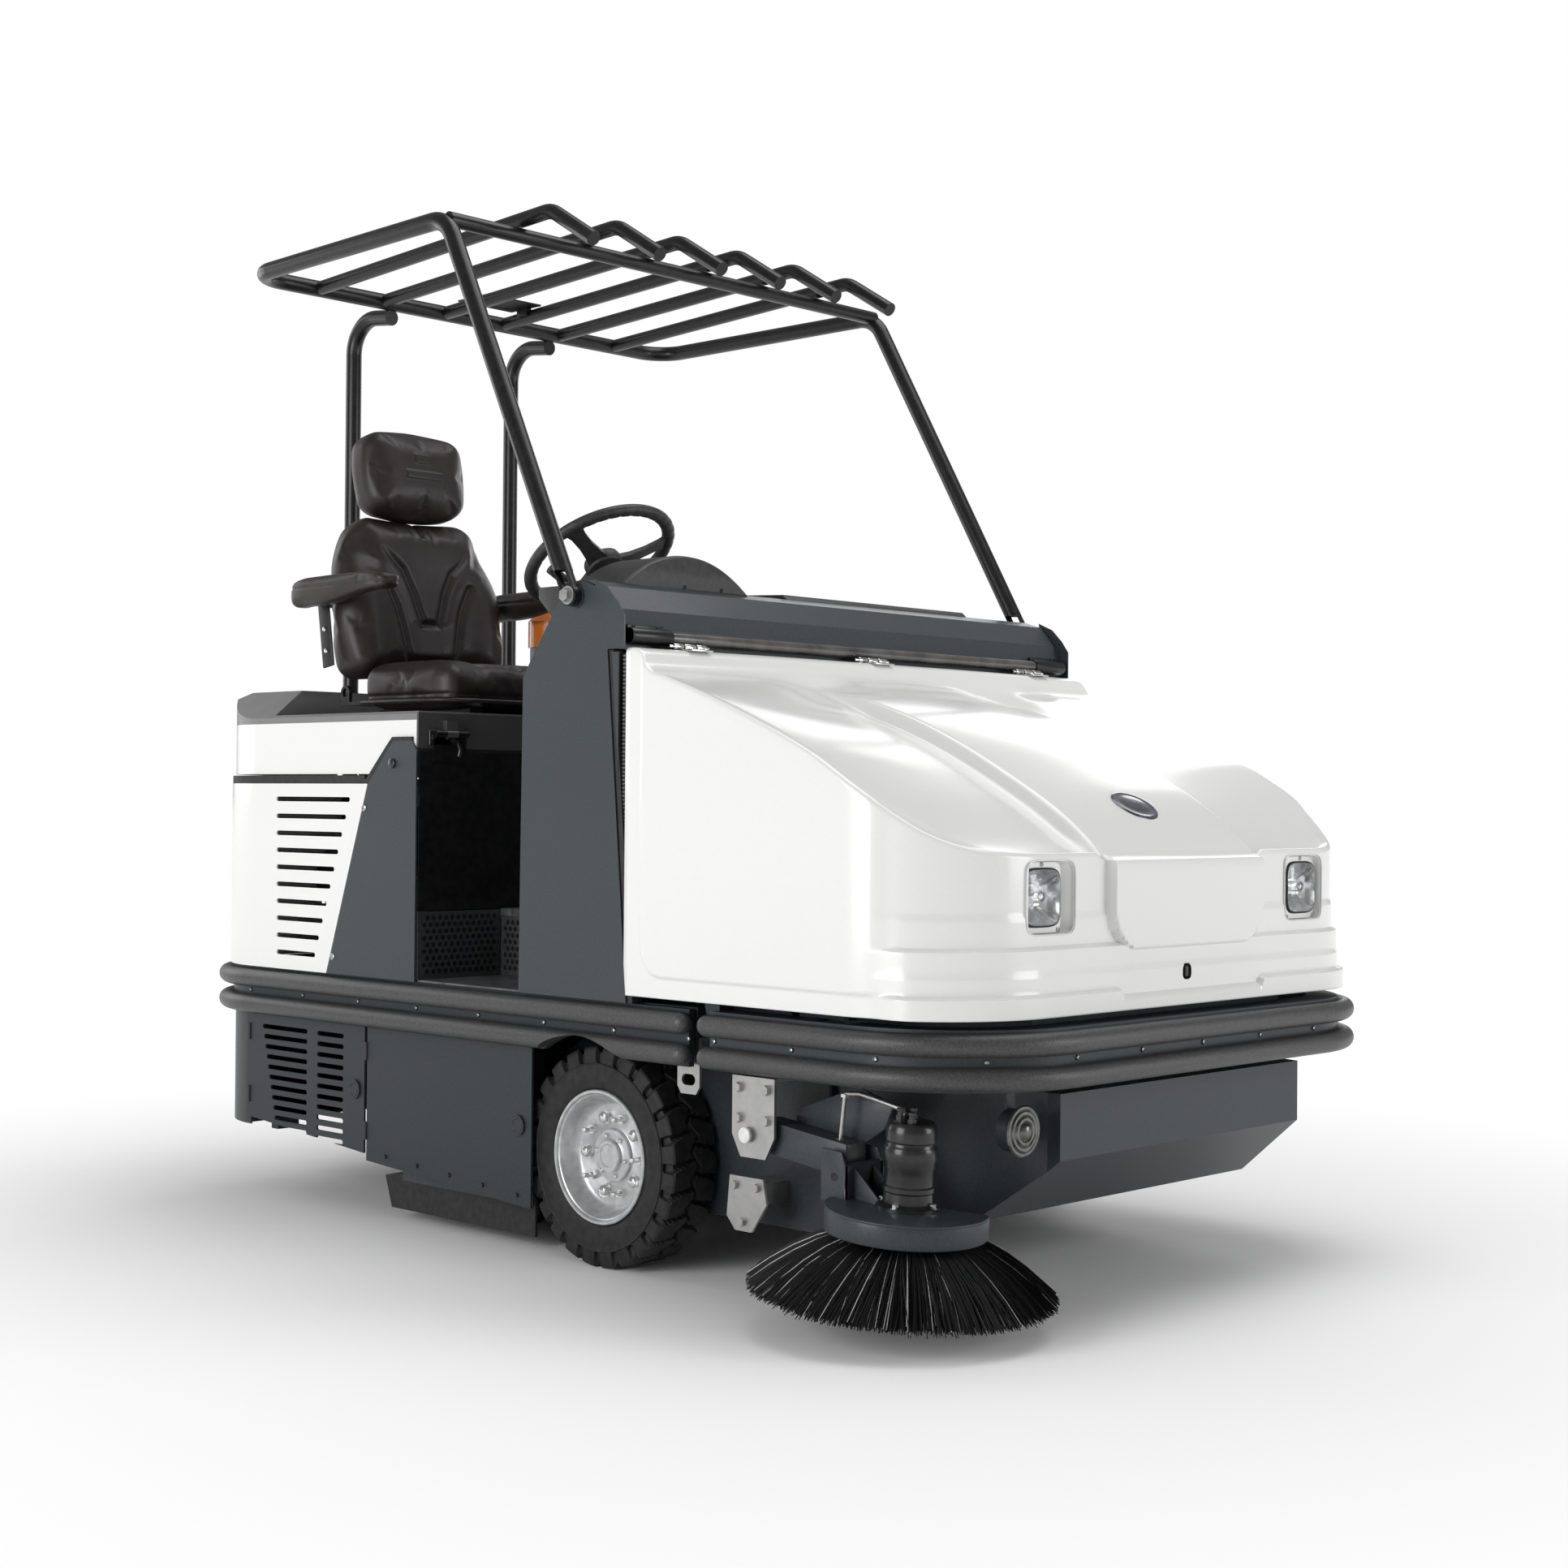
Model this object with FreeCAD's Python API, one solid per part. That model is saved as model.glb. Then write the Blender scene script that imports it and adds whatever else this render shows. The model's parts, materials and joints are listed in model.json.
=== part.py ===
import FreeCAD, Part
import math
import os

# Ride-on sweeper. Millimetres, +Z up, front towards -Y, the machine's left side on +X.
# Working frame: X = 0 on the centre plane, Y = 0 on the front axle, Z = 0 on the floor.

V = FreeCAD.Vector
X_AXIS = V(1, 0, 0)
Y_AXIS = V(0, 1, 0)
Z_AXIS = V(0, 0, 1)

# Middle of the whole footprint in the working frame: the row's origin.
ROW_ORIGIN = V(-82, 228, 0)

# Body envelope
BODY_HALF = 728          # upper body side plates
BODY_REAR = 1480
BODY_REAR_R = 285
LOWER_HALF = 697         # doors and lower body
LEDGE_Z = 551            # top of the bumper ledge, where the upper body starts
SHEET = 4

# Bumper
GROOVE_HALF = 711
GROOVE_FRONT = -1003
GROOVE_REAR = 1495
GROOVE_R_FRONT = 285
GROOVE_R_REAR = 290
BUMPER_R = 21.5
BUMPER_OUT = 13.5        # profile centre beyond the groove face
BUMPER_Z = (461.5, 522.5)
CHANNEL_Z = (437, 549)
REAR_END_Y = -312
FRONT_END_Y = -342

# Wheels
FRONT_R = 225
FRONT_X = 618            # tyre centre plane
FRONT_W = 126
RIM_R = 136
REAR_R = 200
REAR_W = 120
REAR_Y = 1110
AXLE_R = 30
REAR_AXLE_R = 20
RUN = 0.1                # running clearance on a radius

# Front lift: a level-keeping pair of links on each side (Y, Z)
ARM_PIVOT = (-60, 1050)
HOPPER_PIVOT = (-560, 620)
LINK_DROP = 160
ARM_X = (604, 624)
CHEEK_X = (628, 640)
CYLINDER_X = 572
CYLINDER_REACH = 240
CYLINDER_SPREAD = math.radians(75)
ARM_PIN_R = 25
LINK_PIN_R = 12
HOPPER_PIN_R = 14
EYE_SLACK = 13

# Hopper
HOPPER_HALF = 535
HOPPER_REAR = -135

# Main brush and side brush
BRUSH_Y, BRUSH_Z, BRUSH_R = 460, 172, 170
BRUSH_HALF = 535
SIDE_BRUSH = V(-645, -791, 72)
SIDE_TILT = 4
SIDE_R = 283
SIDE_PIVOT = (-440, 319)

# Overhead guard
TUBE_R = 20
TUBE_WALL = 3
GUARD_BEND = 85
GUARD_FOOT = V(-742, 26, 1368)
GUARD_FRONT = V(-704, 496, 2224)
GUARD_REAR = V(-680, 1290, 2221)
BAR_R = 17
BAR_X = (97, 292, 490)
POST_X, POST_Y = 264, 1452

# Driver's place
SEAT_X = -405
SEAT_PIVOT = (975, 1200)
BACK_TILT = 9
ARMREST_PIVOT = (1005, 1420)
DECK_LOW = 1146
DECK_HIGH = 1208
WHEEL_HUB = V(-403, 322, 1494)
WHEEL_TILT = 34.2
DECK_HINGE = (552, 1096)
HOOD_HINGE = (-131, 1266)
HOOD_HINGE_X = (-560, 0, 560)
FRAME_SPLIT_Y = -762
STALK_ROOT = V(-474, 243, 1372)
PEDAL_PIVOT = (150, 950)


def box(x0, x1, y0, y1, z0, z1):
    return Part.makeBox(x1 - x0, y1 - y0, z1 - z0, V(x0, y0, z0))


def soft_box(x0, x1, y0, y1, z0, z1, r):
    block = box(x0, x1, y0, y1, z0, z1)
    return block.makeFillet(r, block.Edges)


def rod(start, end, r):
    way = end - start
    return Part.makeCylinder(r, way.Length, start, way)


def rod_x(x0, x1, y, z, r):
    return Part.makeCylinder(r, x1 - x0, V(x0, y, z), X_AXIS)


def rod_z(x, y, z0, z1, r):
    return Part.makeCylinder(r, z1 - z0, V(x, y, z0), Z_AXIS)


def outline(points):
    return Part.makePolygon([*points, points[0]])


def plate_x(points, x0, x1):
    """Plate whose outline is in the Y-Z plane."""
    wire = outline([V(x0, y, z) for y, z in points])
    return Part.Face(wire).extrude(V(x1 - x0, 0, 0))


def plate_z(points, z0, z1):
    """Plate whose outline is in the X-Y plane."""
    wire = outline([V(x, y, z0) for x, y in points])
    return Part.Face(wire).extrude(V(0, 0, z1 - z0))


def mirrored(shape):
    return shape.mirror(V(0, 0, 0), X_AXIS)


def both(shape):
    return [shape, mirrored(shape)]


def joined(shapes):
    return shapes[0].fuse(shapes[1:]).removeSplitter()


def group(shapes):
    return Part.makeCompound(shapes)


def revolved(profile, start, axis):
    """Solid of revolution from (radius, height) points about an axis at start."""
    wire = outline([V(r, 0, h) for r, h in profile])
    solid = Part.Face(wire).revolve(V(0, 0, 0), Z_AXIS, 360)
    solid.Placement = FreeCAD.Placement(start, FreeCAD.Rotation(Z_AXIS, axis))
    return solid


def corner_arc(corner, before, after, r):
    """Tangent arc at a corner: its two ends and its middle."""
    a = (before - corner).normalize()
    b = (after - corner).normalize()
    half = a.getAngle(b) / 2
    reach = r / math.tan(half)
    centre = corner + (a + b).normalize() * (r / math.sin(half))
    middle = centre + (corner - centre).normalize() * r
    return corner + a * reach, middle, corner + b * reach


def bent_wire(points, r):
    edges = []
    here = points[0]
    for i in range(1, len(points) - 1):
        start, middle, end = corner_arc(points[i], points[i - 1], points[i + 1], r)
        edges.append(Part.LineSegment(here, start).toShape())
        edges.append(Part.Arc(start, middle, end).toShape())
        here = end
    edges.append(Part.LineSegment(here, points[-1]).toShape())
    return Part.Wire(edges)


def bent_rod(points, rod_r, bend_r):
    path = bent_wire(points, bend_r)
    ring = Part.Wire(Part.makeCircle(rod_r, points[0], points[1] - points[0]))
    return path.makePipeShell([ring], True, False)


def bent_tube(points, tube_r, bend_r):
    outer = bent_rod(points, tube_r, bend_r)
    return outer.cut(bent_rod(points, tube_r - TUBE_WALL, bend_r))


def u_block(half, end_y, corner_r, open_y, z0, z1):
    """Block that is square at open_y and has two round corners at end_y."""
    points = [V(-half, open_y, z0), V(-half, end_y, z0), V(half, end_y, z0), V(half, open_y, z0)]
    round_side = bent_wire(points, corner_r)
    closing = Part.LineSegment(points[-1], points[0]).toShape()
    face = Part.Face(Part.Wire([*round_side.Edges, closing]))
    return face.extrude(V(0, 0, z1 - z0))


def u_wall(half, end_y, corner_r, open_y, z0, z1, t):
    inward = t if end_y > open_y else -t
    outer = u_block(half, end_y, corner_r, open_y, z0, z1)
    inner = u_block(half - t, end_y - inward, corner_r - t, open_y - inward, z0 - 1, z1 + 1)
    return outer.cut(inner)


def slot_cutters(x0, x1, rows):
    """Round-ended slots through a side plate; rows hold (y0, y1, z, height)."""
    cutters = []
    for y0, y1, z, h in rows:
        cutters.append(box(x0, x1, y0 + h / 2, y1 - h / 2, z - h / 2, z + h / 2))
        cutters.extend(rod_x(x0, x1, y, z, h / 2) for y in (y0 + h / 2, y1 - h / 2))
    return cutters


def hex_head(centre, axis, across, height):
    """Hexagon bolt head standing on a face at centre."""
    r = across / math.sqrt(3)
    corners = [(r * math.cos(math.pi * k / 3), r * math.sin(math.pi * k / 3)) for k in range(6)]
    head = plate_z(corners, 0, height)
    head.Placement = FreeCAD.Placement(centre, FreeCAD.Rotation(Z_AXIS, axis))
    return head


# Lift geometry, worked out from the pivots
ARM_RUN = ARM_PIVOT[0] - HOPPER_PIVOT[0]
ARM_FALL = ARM_PIVOT[1] - HOPPER_PIVOT[1]
ARM_LENGTH = math.hypot(ARM_RUN, ARM_FALL)
ARM_ANGLE = math.atan2(-ARM_FALL, ARM_RUN)
ROD_PIN = (ARM_PIVOT[0] - CYLINDER_REACH * math.cos(ARM_ANGLE),
           ARM_PIVOT[1] + CYLINDER_REACH * math.sin(ARM_ANGLE))
BASE_PIN = (ARM_PIVOT[0] - CYLINDER_REACH * math.cos(ARM_ANGLE - CYLINDER_SPREAD),
            ARM_PIVOT[1] + CYLINDER_REACH * math.sin(ARM_ANGLE - CYLINDER_SPREAD))


def chassis_frame():
    rail = box(-460, -400, -95, 1440, 485, LEDGE_Z)
    sill = box(-690, -640, -95, 1240, 491, LEDGE_Z)
    sill_tip = box(-690, -640, -300, -95, 491, LEDGE_Z)
    stub = rod_x(-FRONT_X - 16, -541, 0, FRONT_R, AXLE_R)
    pad = rod_x(-553, -545, 0, FRONT_R, 75)
    cheek = plate_x([(-520, 120), (-520, 430), (-100, 430), (-95, 486), (120, 486), (262, 405),
                     (262, 200), (150, 120)], -549, -541)
    y, z = ARM_PIVOT
    tower = plate_x([(-95, LEDGE_Z), (-95, z + 35), (-25, z + 35), (80, z - 150), (80, LEDGE_Z)],
                    -CHEEK_X[1], -CHEEK_X[0])
    tower = tower.cut(rod_x(-CHEEK_X[1] - 1, -CHEEK_X[0] + 1, y, z, ARM_PIN_R + RUN))
    link_pin = rod_x(-CHEEK_X[0], -ARM_X[0] + 2, y, z - LINK_DROP, LINK_PIN_R)
    base_pin = rod_x(-CHEEK_X[0], -CYLINDER_X + 26, *BASE_PIN, LINK_PIN_R)
    brush_bracket = box(-597, -585, 735, 800, 310, 486)
    brush_pin = rod_x(-585, -562, 765, 350, LINK_PIN_R)
    door_post = box(-690, -650, 760, 776, 165, 491)
    socket = rod_z(-POST_X, POST_Y, LEDGE_Z, 720, TUBE_R + 4).cut(
        [rod_z(-POST_X, POST_Y, LEDGE_Z + 10, 721, TUBE_R), box(-400, -200, 1472, 1500, 500, 800)])
    beams = [box(-half, half, y0, y1, 486, LEDGE_Z)
             for half, y0, y1 in ((690, -95, -30), (690, 690, 740), (690, 1200, 1240),
                                  (430, 1425, 1472), (460, 1040, 1180))]
    shelf = box(-690, 690, 80, 102, 520, LEDGE_Z)
    bed = joined([*both(rail), *both(sill), *beams, shelf]).cut(
        rod_z(0, REAR_Y, 480, 560, AXLE_R + RUN))
    bulkhead = box(-660, 660, 98, 102, LEDGE_Z, 1380)
    welded = [joined([tower, link_pin, base_pin]), joined([cheek, stub, pad]),
              joined([brush_bracket, brush_pin]), door_post, socket, sill_tip]
    return [bed, bulkhead, *[piece for part in welded for piece in both(part)]]


def side_brush_hanger():
    """Zinc plates on the right cheek that hold the side brush arm and the deflector."""
    plate = plate_x([(-509, 430), (-397, 430), (-397, 318), (-420, 276), (-486, 276), (-509, 318)],
                    -690, -684)
    roof = box(-684, -549, -509, -397, 424, 430)
    pin = rod_x(-684, -549, *SIDE_PIVOT, 14)
    bush = rod_x(-697, -690, *SIDE_PIVOT, 13)
    bolts = [hex_head(V(-690, y, z), V(-1, 0, 0), 17, 9)
             for y, z in ((-490, 408), (-416, 408), (-416, 350), (-490, 350))]
    lower = plate_x([(-420, 224), (-330, 224), (-322, 144), (-345, 118), (-390, 118), (-430, 176)],
                    -628, -622)
    spacer = box(-622, -549, -415, -350, 174, 214)
    lower_bolts = [hex_head(V(-628, y, z), V(-1, 0, 0), 15, 8)
                   for y, z in ((-405, 206), (-345, 206), (-366, 136))]
    lug = plate_x([(-300, 491), (-300, 395), (-290, 380), (-248, 380), (-238, 395), (-238, 491)],
                  -684, -678)
    lug = lug.cut(slot_cutters(-690, -670, [(-288, -250, 408, 22)]))
    return [joined([plate, roof, pin]), bush, *bolts, joined([lower, spacer]), *lower_bolts,
            *both(lug)]


def guard_fixings():
    parts = []
    for side in (-1, 1):
        foot = V(side * (BODY_HALF + 14.4), GUARD_FOOT.y, GUARD_FOOT.z)
        washer = rod(foot + X_AXIS * side * 8, foot + X_AXIS * side * 11, 19)
        parts.append(washer)
        parts.append(hex_head(foot + X_AXIS * side * 11, X_AXIS * side, 24, 11))
    return parts


def brush_chamber():
    top = box(-604, 604, 262, 668, 405, 409)
    rear = box(-604, 604, 664, 668, 60, 405).cut(both(box(-594, -554, 660, 670, 240, 366)))
    front = box(-541, 541, 262, 266, 210, 405)
    duct = box(-541, 541, -110, 262, 401, 405)
    side = box(-604, -600, 266, 664, 122, 405)
    curb = box(-652, -604, 236, 690, 122, 126)
    lip = box(-652, -648, 236, 690, 92, 122)
    return joined([top, rear, front, duct, *both(side), *both(curb), *both(lip)])


def rubber_parts():
    skirt = plate_x([(232, 26), (232, 112), (690, 112), (760, 96), (735, 26)], -648, -642)
    rear_flap = box(-600, 600, 668, 674, 14, 120)
    seal = plate_x([(-137, LEDGE_Z), (-150, LEDGE_Z), (-86, 1254), (-73, 1254)], -726, -700)
    arch = plate_x([(572, 1080), (640, 1080), (662, 1058), (731, 986), (744, 986), (744, 992),
                    (668, 1067), (644, 1089), (572, 1089)], -BODY_HALF, -BODY_HALF + 5)
    band = u_wall(BODY_HALF - 1, BODY_REAR - 1, BODY_REAR_R - 1, 600, 985, 1004, 12)
    band = band.cut([box(-800, 800, 500, 745, 900, 1100),
                     *[rod_z(x, POST_Y, 900, 1100, TUBE_R + 3) for x in (-POST_X, POST_X)]])
    return [*both(skirt), rear_flap, *both(seal), *both(arch), band]


def lower_body():
    wall = u_wall(690, 1476, 230, 1100, 166, CHANNEL_Z[0], SHEET)
    floor = u_block(686, 1472, 226, 1100, 170, 174).cut(rod_z(0, REAR_Y, 160, 180, 240))
    shell = joined([wall, floor]).cut(box(-700, 700, 1000, 1243, 100, 500))
    channel = u_wall(GROOVE_HALF, GROOVE_REAR, GROOVE_R_REAR, REAR_END_Y + 14, *CHANNEL_Z, 14)
    channel = channel.cut(rod_x(-760, 760, 0, FRONT_R, 252))
    web = u_wall(GROOVE_HALF - 14, GROOVE_REAR - 14, GROOVE_R_REAR - 14, 1150,
                 CHANNEL_Z[0], CHANNEL_Z[0] + 6, 60)
    foot = box(-600, -540, 1262, 1290, 142, 170)
    flange = box(-690, -676, 1243, 1262, 174, 430)
    return joined([shell, channel, web, *both(foot), *both(flange)])


def bumper_pair(half_span, end_y, corner_r, open_y, block):
    """Two round rubber profiles, flat against the channel behind them."""
    half = half_span + BUMPER_OUT
    side = 1 if end_y > open_y else -1
    profiles = []
    for z in BUMPER_Z:
        start = open_y + side * BUMPER_R
        points = [V(-half, start, z), V(-half, end_y + side * BUMPER_OUT, z),
                  V(half, end_y + side * BUMPER_OUT, z), V(half, start, z)]
        profile = bent_rod(points, BUMPER_R, corner_r + BUMPER_OUT)
        ends = [Part.makeSphere(BUMPER_R, p) for p in (points[0], points[-1])]
        profiles.append(profile.fuse(ends).removeSplitter().cut(block))
    return profiles


def rear_bumper():
    block = u_block(GROOVE_HALF, GROOVE_REAR, GROOVE_R_REAR, REAR_END_Y - 60, 400, 600)
    pair = bumper_pair(GROOVE_HALF, GROOVE_REAR, GROOVE_R_REAR, REAR_END_Y, block)
    arch = rod_x(-800, 800, 0, FRONT_R, 252)
    return [piece for profile in pair for piece in profile.cut(arch).Solids]


def front_bumper():
    block = u_block(GROOVE_HALF, GROOVE_FRONT, GROOVE_R_FRONT, FRONT_END_Y + 60, 400, 600)
    return bumper_pair(GROOVE_HALF, GROOVE_FRONT, GROOVE_R_FRONT, FRONT_END_Y, block)


def pillars():
    skin = plate_x([(-133, LEDGE_Z), (-66, 1297), (-66, 1345), (-34, 1384), (8, 1398), (48, 1394),
                    (72, 1372), (170, 1240), (193, 1208), (199, LEDGE_Z)],
                   -BODY_HALF, -BODY_HALF + SHEET)
    back = plate_x([(195, LEDGE_Z), (189, 1208), (193, 1208), (199, LEDGE_Z)], -BODY_HALF + SHEET, -664)
    nose = plate_x([(-133, LEDGE_Z), (-129, LEDGE_Z), (-62, 1297), (-66, 1297)],
                   -BODY_HALF + SHEET, -700)
    knob = rod_x(-BODY_HALF - 4, -BODY_HALF, GUARD_FOOT.y, GUARD_FOOT.z, 24)
    return both(joined([skin, back, nose, knob]))


def quarter_panels():
    skin = plate_x([(555, LEDGE_Z), (555, 1058), (572, 1080), (640, 1080), (662, 1058),
                    (731, 986), (883, LEDGE_Z)], -BODY_HALF, -BODY_HALF + SHEET)
    skin = skin.cut(rod_x(-BODY_HALF - 1, -BODY_HALF + SHEET + 1, 640, 1030, 9))
    lip = box(-BODY_HALF + SHEET, -690, 555, 559, LEDGE_Z, 706)
    plug = rod_x(-BODY_HALF - 3, -BODY_HALF + SHEET, 640, 1030, 9)
    return both(joined([skin, lip])) + both(plug)


def rear_shell():
    wall = u_wall(BODY_HALF, BODY_REAR, BODY_REAR_R, 600, LEDGE_Z, 985, SHEET)
    front_cut = plate_x([(590, 500), (590, 1000), (734, 1000), (734, 985), (886, LEDGE_Z),
                         (886, 500)], -800, 800)
    count = 10
    rows = []
    for k in range(count):
        share = k / (count - 1)
        rows.append((800 + 130 * share, 1092 - 7 * share, 949 - 359 * share, 11))
    cutters = slot_cutters(-800, 800, rows)
    rear_rows = [box(-330, 330, 1400, 1500, 640 + 38 * k, 651 + 38 * k) for k in range(7)]
    return wall.cut([front_cut, *cutters, *rear_rows])


def dash_panel():
    fold = [(2, 1400), (-46, 1386), (-88, 1338), (-96, 1300), (-96, 1256), (-92, 1256),
            (-92, 1299), (-84, 1337), (-44, 1382), (2, 1396)]
    sheet = plate_x(fold, -722, 722)
    back = box(-722, 722, 2, 94, 1396, 1400)
    end = plate_x([(-123, 1256), (-123, 1322), (-103, 1350), (-73, 1380), (-34, 1397), (-36, 1384),
                   (-66, 1345), (-66, 1297), (-70, 1256)], -BODY_HALF - 4, -BODY_HALF)
    tie = plate_x([(-98, 1256), (-98, 1330), (-66, 1345), (-66, 1300), (-70, 1256)],
                  -BODY_HALF, -722)
    return joined([sheet, back, *both(end), *both(tie)])


def light_bar():
    centre = (-114, 1283)
    lens = rod_x(-600, 600, *centre, 13)
    ends = both(rod_x(-711, -600, *centre, 15))
    clips = [plate_x([(-104, 1278), (-104, 1290), (-96, 1290), (-96, 1278)], x - 12, x + 12)
             for x in (-640, 640)]
    return [lens, *ends, *[clip.cut(rod_x(-711, 711, *centre, 15)) for clip in clips]]


def dash_covers():
    arch = [(-185, 0), (-160, 52), (-105, 70), (60, 70), (115, 52), (185, 0)]
    hump = outline([V(SEAT_X + x, -8, 1400 + z) for x, z in arch])
    hump = Part.Face(hump).extrude(V(0, 150, 0))
    hollow = outline([V(SEAT_X + x * 0.94, 10, 1396 + z * 0.94) for x, z in arch])
    hump = hump.cut(Part.Face(hollow).extrude(V(0, 140, 0)))
    panel = plate_x([(34, 1402), (34, 1462), (60, 1462), (120, 1402)], SEAT_X - 118, SEAT_X + 88)
    console = box(-560, -240, 103, 160, 1150, 1396)
    pad = plate_x([(6, 1400), (20, 1412), (150, 1418), (176, 1400)], -130, 500)
    desk = plate_x([(103, 1396), (180, 1396), (180, 1372), (103, 1300)], -700, 700)
    column_gap = box(SEAT_X - 92, SEAT_X + 62, 159, 181, 1250, 1400)
    cover = joined([hump, console])
    return [cover, panel.cut(cover), pad, desk.cut([console, column_gap])]


def footwell_floor():
    step = box(-722, -490, 199, 551, LEDGE_Z, LEDGE_Z + 4)
    platform = box(-486, 486, 103, 551, 702, 706)
    nose = box(-490, -486, 103, 551, 690, 706)
    return [*both(step), joined([platform, *both(nose)])]


def riser_grilles():
    riser = box(-489, -487, 103, 551, LEDGE_Z + 4, 690)
    wall = box(-722, -491, 551, 553, LEDGE_Z + 4, 704)
    return both(riser) + both(wall)


def engine_bay_wall():
    wall = box(-722, 722, 551, 554, 706, 1056)
    lower = box(-486, 486, 551, 554, LEDGE_Z, 706)
    y, z = DECK_HINGE
    leaves = []
    for x in (-640, 640):
        leaf = box(x - 45, x + 45, y - 4, y - 1, z - 62, z).cut(
            box(x - 16.5, x + 16.5, y - 5, y, z - 12, z + 1))
        foot = box(x - 45, x + 45, y - 4, y + 8, z - 62, z - 38)
        knuckles = [rod_x(x0, x0 + 28.5, y - 8, z, 8) for x0 in (x - 45, x + 16.5)]
        leaves.extend([leaf, foot, *knuckles, rod_x(x - 45, x + 45, y - 8, z, 4)])
    return joined([wall, lower, *leaves])


def guard_frame():
    left = [V(-p.x, p.y, p.z) for p in (GUARD_REAR, GUARD_FRONT, GUARD_FOOT)]
    loop = bent_tube([GUARD_FOOT, GUARD_FRONT, GUARD_REAR, *left], TUBE_R, GUARD_BEND)
    inner, outer = BODY_HALF + 4.3, BODY_HALF + 22.4
    flattened = box(-800, -600, -60, 120, 1250, 1420).cut(box(-outer, -inner, -61, 121, 1249, 1421))
    foot = rod_x(-outer, -inner, GUARD_FOOT.y, GUARD_FOOT.z, 22)
    loop = joined([loop.cut(both(flattened)), *both(foot)])
    front_tube = rod(V(-700, 496, 2222), V(700, 496, 2222), BAR_R).cut(loop)
    posts = []
    for x in (-POST_X, POST_X):
        tube = bent_rod([V(x, POST_Y, LEDGE_Z + 11), V(x, POST_Y, 2203), V(x, 1290, 2184)],
                        TUBE_R, GUARD_BEND)
        posts.append(tube.cut(loop))
    return [loop, max(front_tube.Solids, key=lambda s: s.Volume), *posts]


def roof_bars(guard):
    bars = []
    for x in [side * x for side in (-1, 1) for x in BAR_X]:
        bar = bent_rod([V(x, 1276, 2221), V(x, 396, 2264), V(x, 254, 2178)], BAR_R, 70)
        bars.append(max(bar.cut(guard).Solids, key=lambda s: s.Volume))
    plate = box(-90, 90, 1120, 1240, 2246, 2250)
    plate = plate.cut([rod_z(x, y, 2240, 2256, 5.5) for x in (-50, 50) for y in (1150, 1210)])
    stems = [box(x - 8, x + 8, 1160, 1200, 2226, 2246) for x in (-82, 82)]
    mounting = joined([plate, *stems]).cut(group(bars))
    return [*bars, mounting]


def steering_column():
    axis = V(0, math.sin(math.radians(WHEEL_TILT)), math.cos(math.radians(WHEEL_TILT)))
    low = WHEEL_HUB - axis * 190
    tube = Part.makeCylinder(28, 130, low, axis)
    tube = tube.cut(Part.makeCylinder(12 + RUN, 140, low + axis * 20, axis))
    boot = Part.makeCone(46, 30, 40, low + axis * 20, axis)
    boot = boot.cut(Part.makeCylinder(28, 60, low + axis * 10, axis))
    block = box(SEAT_X - 90, SEAT_X + 60, 160, 232, 1280, 1396)
    block = block.cut([Part.makeCylinder(28, 160, low - axis * 10, axis),
                       Part.makeCone(47, 31, 41, low + axis * 19.5, axis)])
    block = max(block.Solids, key=lambda s: s.Volume)
    socket = rod(STALK_ROOT - Y_AXIS * 11, STALK_ROOT - Y_AXIS * 6, 14).cut(
        Part.makeSphere(10.3, STALK_ROOT))
    return [tube, boot, block, socket]


def steering_wheel():
    r = 164
    axis = V(0, math.sin(math.radians(WHEEL_TILT)), math.cos(math.radians(WHEEL_TILT)))
    rim = Part.makeTorus(r, 13, V(0, 0, 0), Z_AXIS)
    hub = Part.makeCylinder(38, 34, V(0, 0, -30), Z_AXIS)
    spokes = [rod(V(0, 0, -12), V(r * math.cos(a), r * math.sin(a), 0), 9)
              for a in (math.radians(-30), math.radians(90), math.radians(210))]
    shaft = Part.makeCylinder(12, 120, V(0, 0, -140), Z_AXIS)
    wheel = joined([rim, hub, *spokes, shaft])
    wheel.Placement = FreeCAD.Placement(WHEEL_HUB, FreeCAD.Rotation(Z_AXIS, axis))
    return wheel


def stalk():
    arm = rod(STALK_ROOT, STALK_ROOT + V(-95, 20, 62), 6)
    tip = rod(STALK_ROOT + V(-85, 18, 55), STALK_ROOT + V(-120, 25, 78), 11)
    return joined([arm, tip, Part.makeSphere(10, STALK_ROOT)])


def pedal(x, width, lift):
    y, z = PEDAL_PIVOT
    pin = rod_x(x - 31, x + 31, y, z, 10)
    leg = rod(V(x, y, z), V(x, y + 60, 770 + lift), 9)
    corners = [(y + 40, 752), (y + 47, 748), (y + 92, 812), (y + 85, 816)]
    pad = plate_x([(py, pz + lift) for py, pz in corners], x - width / 2, x + width / 2)
    return joined([pin, leg, pad])


def pedal_brackets():
    y, z = PEDAL_PIVOT
    ears = [box(x + shift - 3, x + shift + 3, 102, y + 22, z - 25, z + 25)
            for x in (-320, -500) for shift in (-28, 28)]
    return [ear.cut(rod_x(-600, -200, y, z, 10 + RUN)) for ear in ears]


def power_unit():
    block = box(-210, 210, 760, 1030, LEDGE_Z, 880)
    head = box(-190, 190, 790, 1000, 880, 960)
    pump = rod_x(210, 330, 880, 700, 70)
    radiator = box(-300, 300, 1150, 1215, LEDGE_Z, 930)
    tank = soft_box(380, 620, 640, 1100, LEDGE_Z, 900, 18)
    battery = soft_box(-620, -380, 640, 860, LEDGE_Z, 770, 6)
    air_filter = rod(V(-470, 930, 760), V(-470, 1180, 760), 85)
    filter_foot = box(-500, -440, 940, 1160, LEDGE_Z, 690).cut(air_filter)
    return [joined([block, head, pump]), radiator, tank, battery, joined([air_filter, filter_foot])]


def deck_outline(inset, z0, z1):
    return u_block(722 - inset, 1462 - inset, 268 - inset, 562 + inset, z0, z1)


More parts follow.
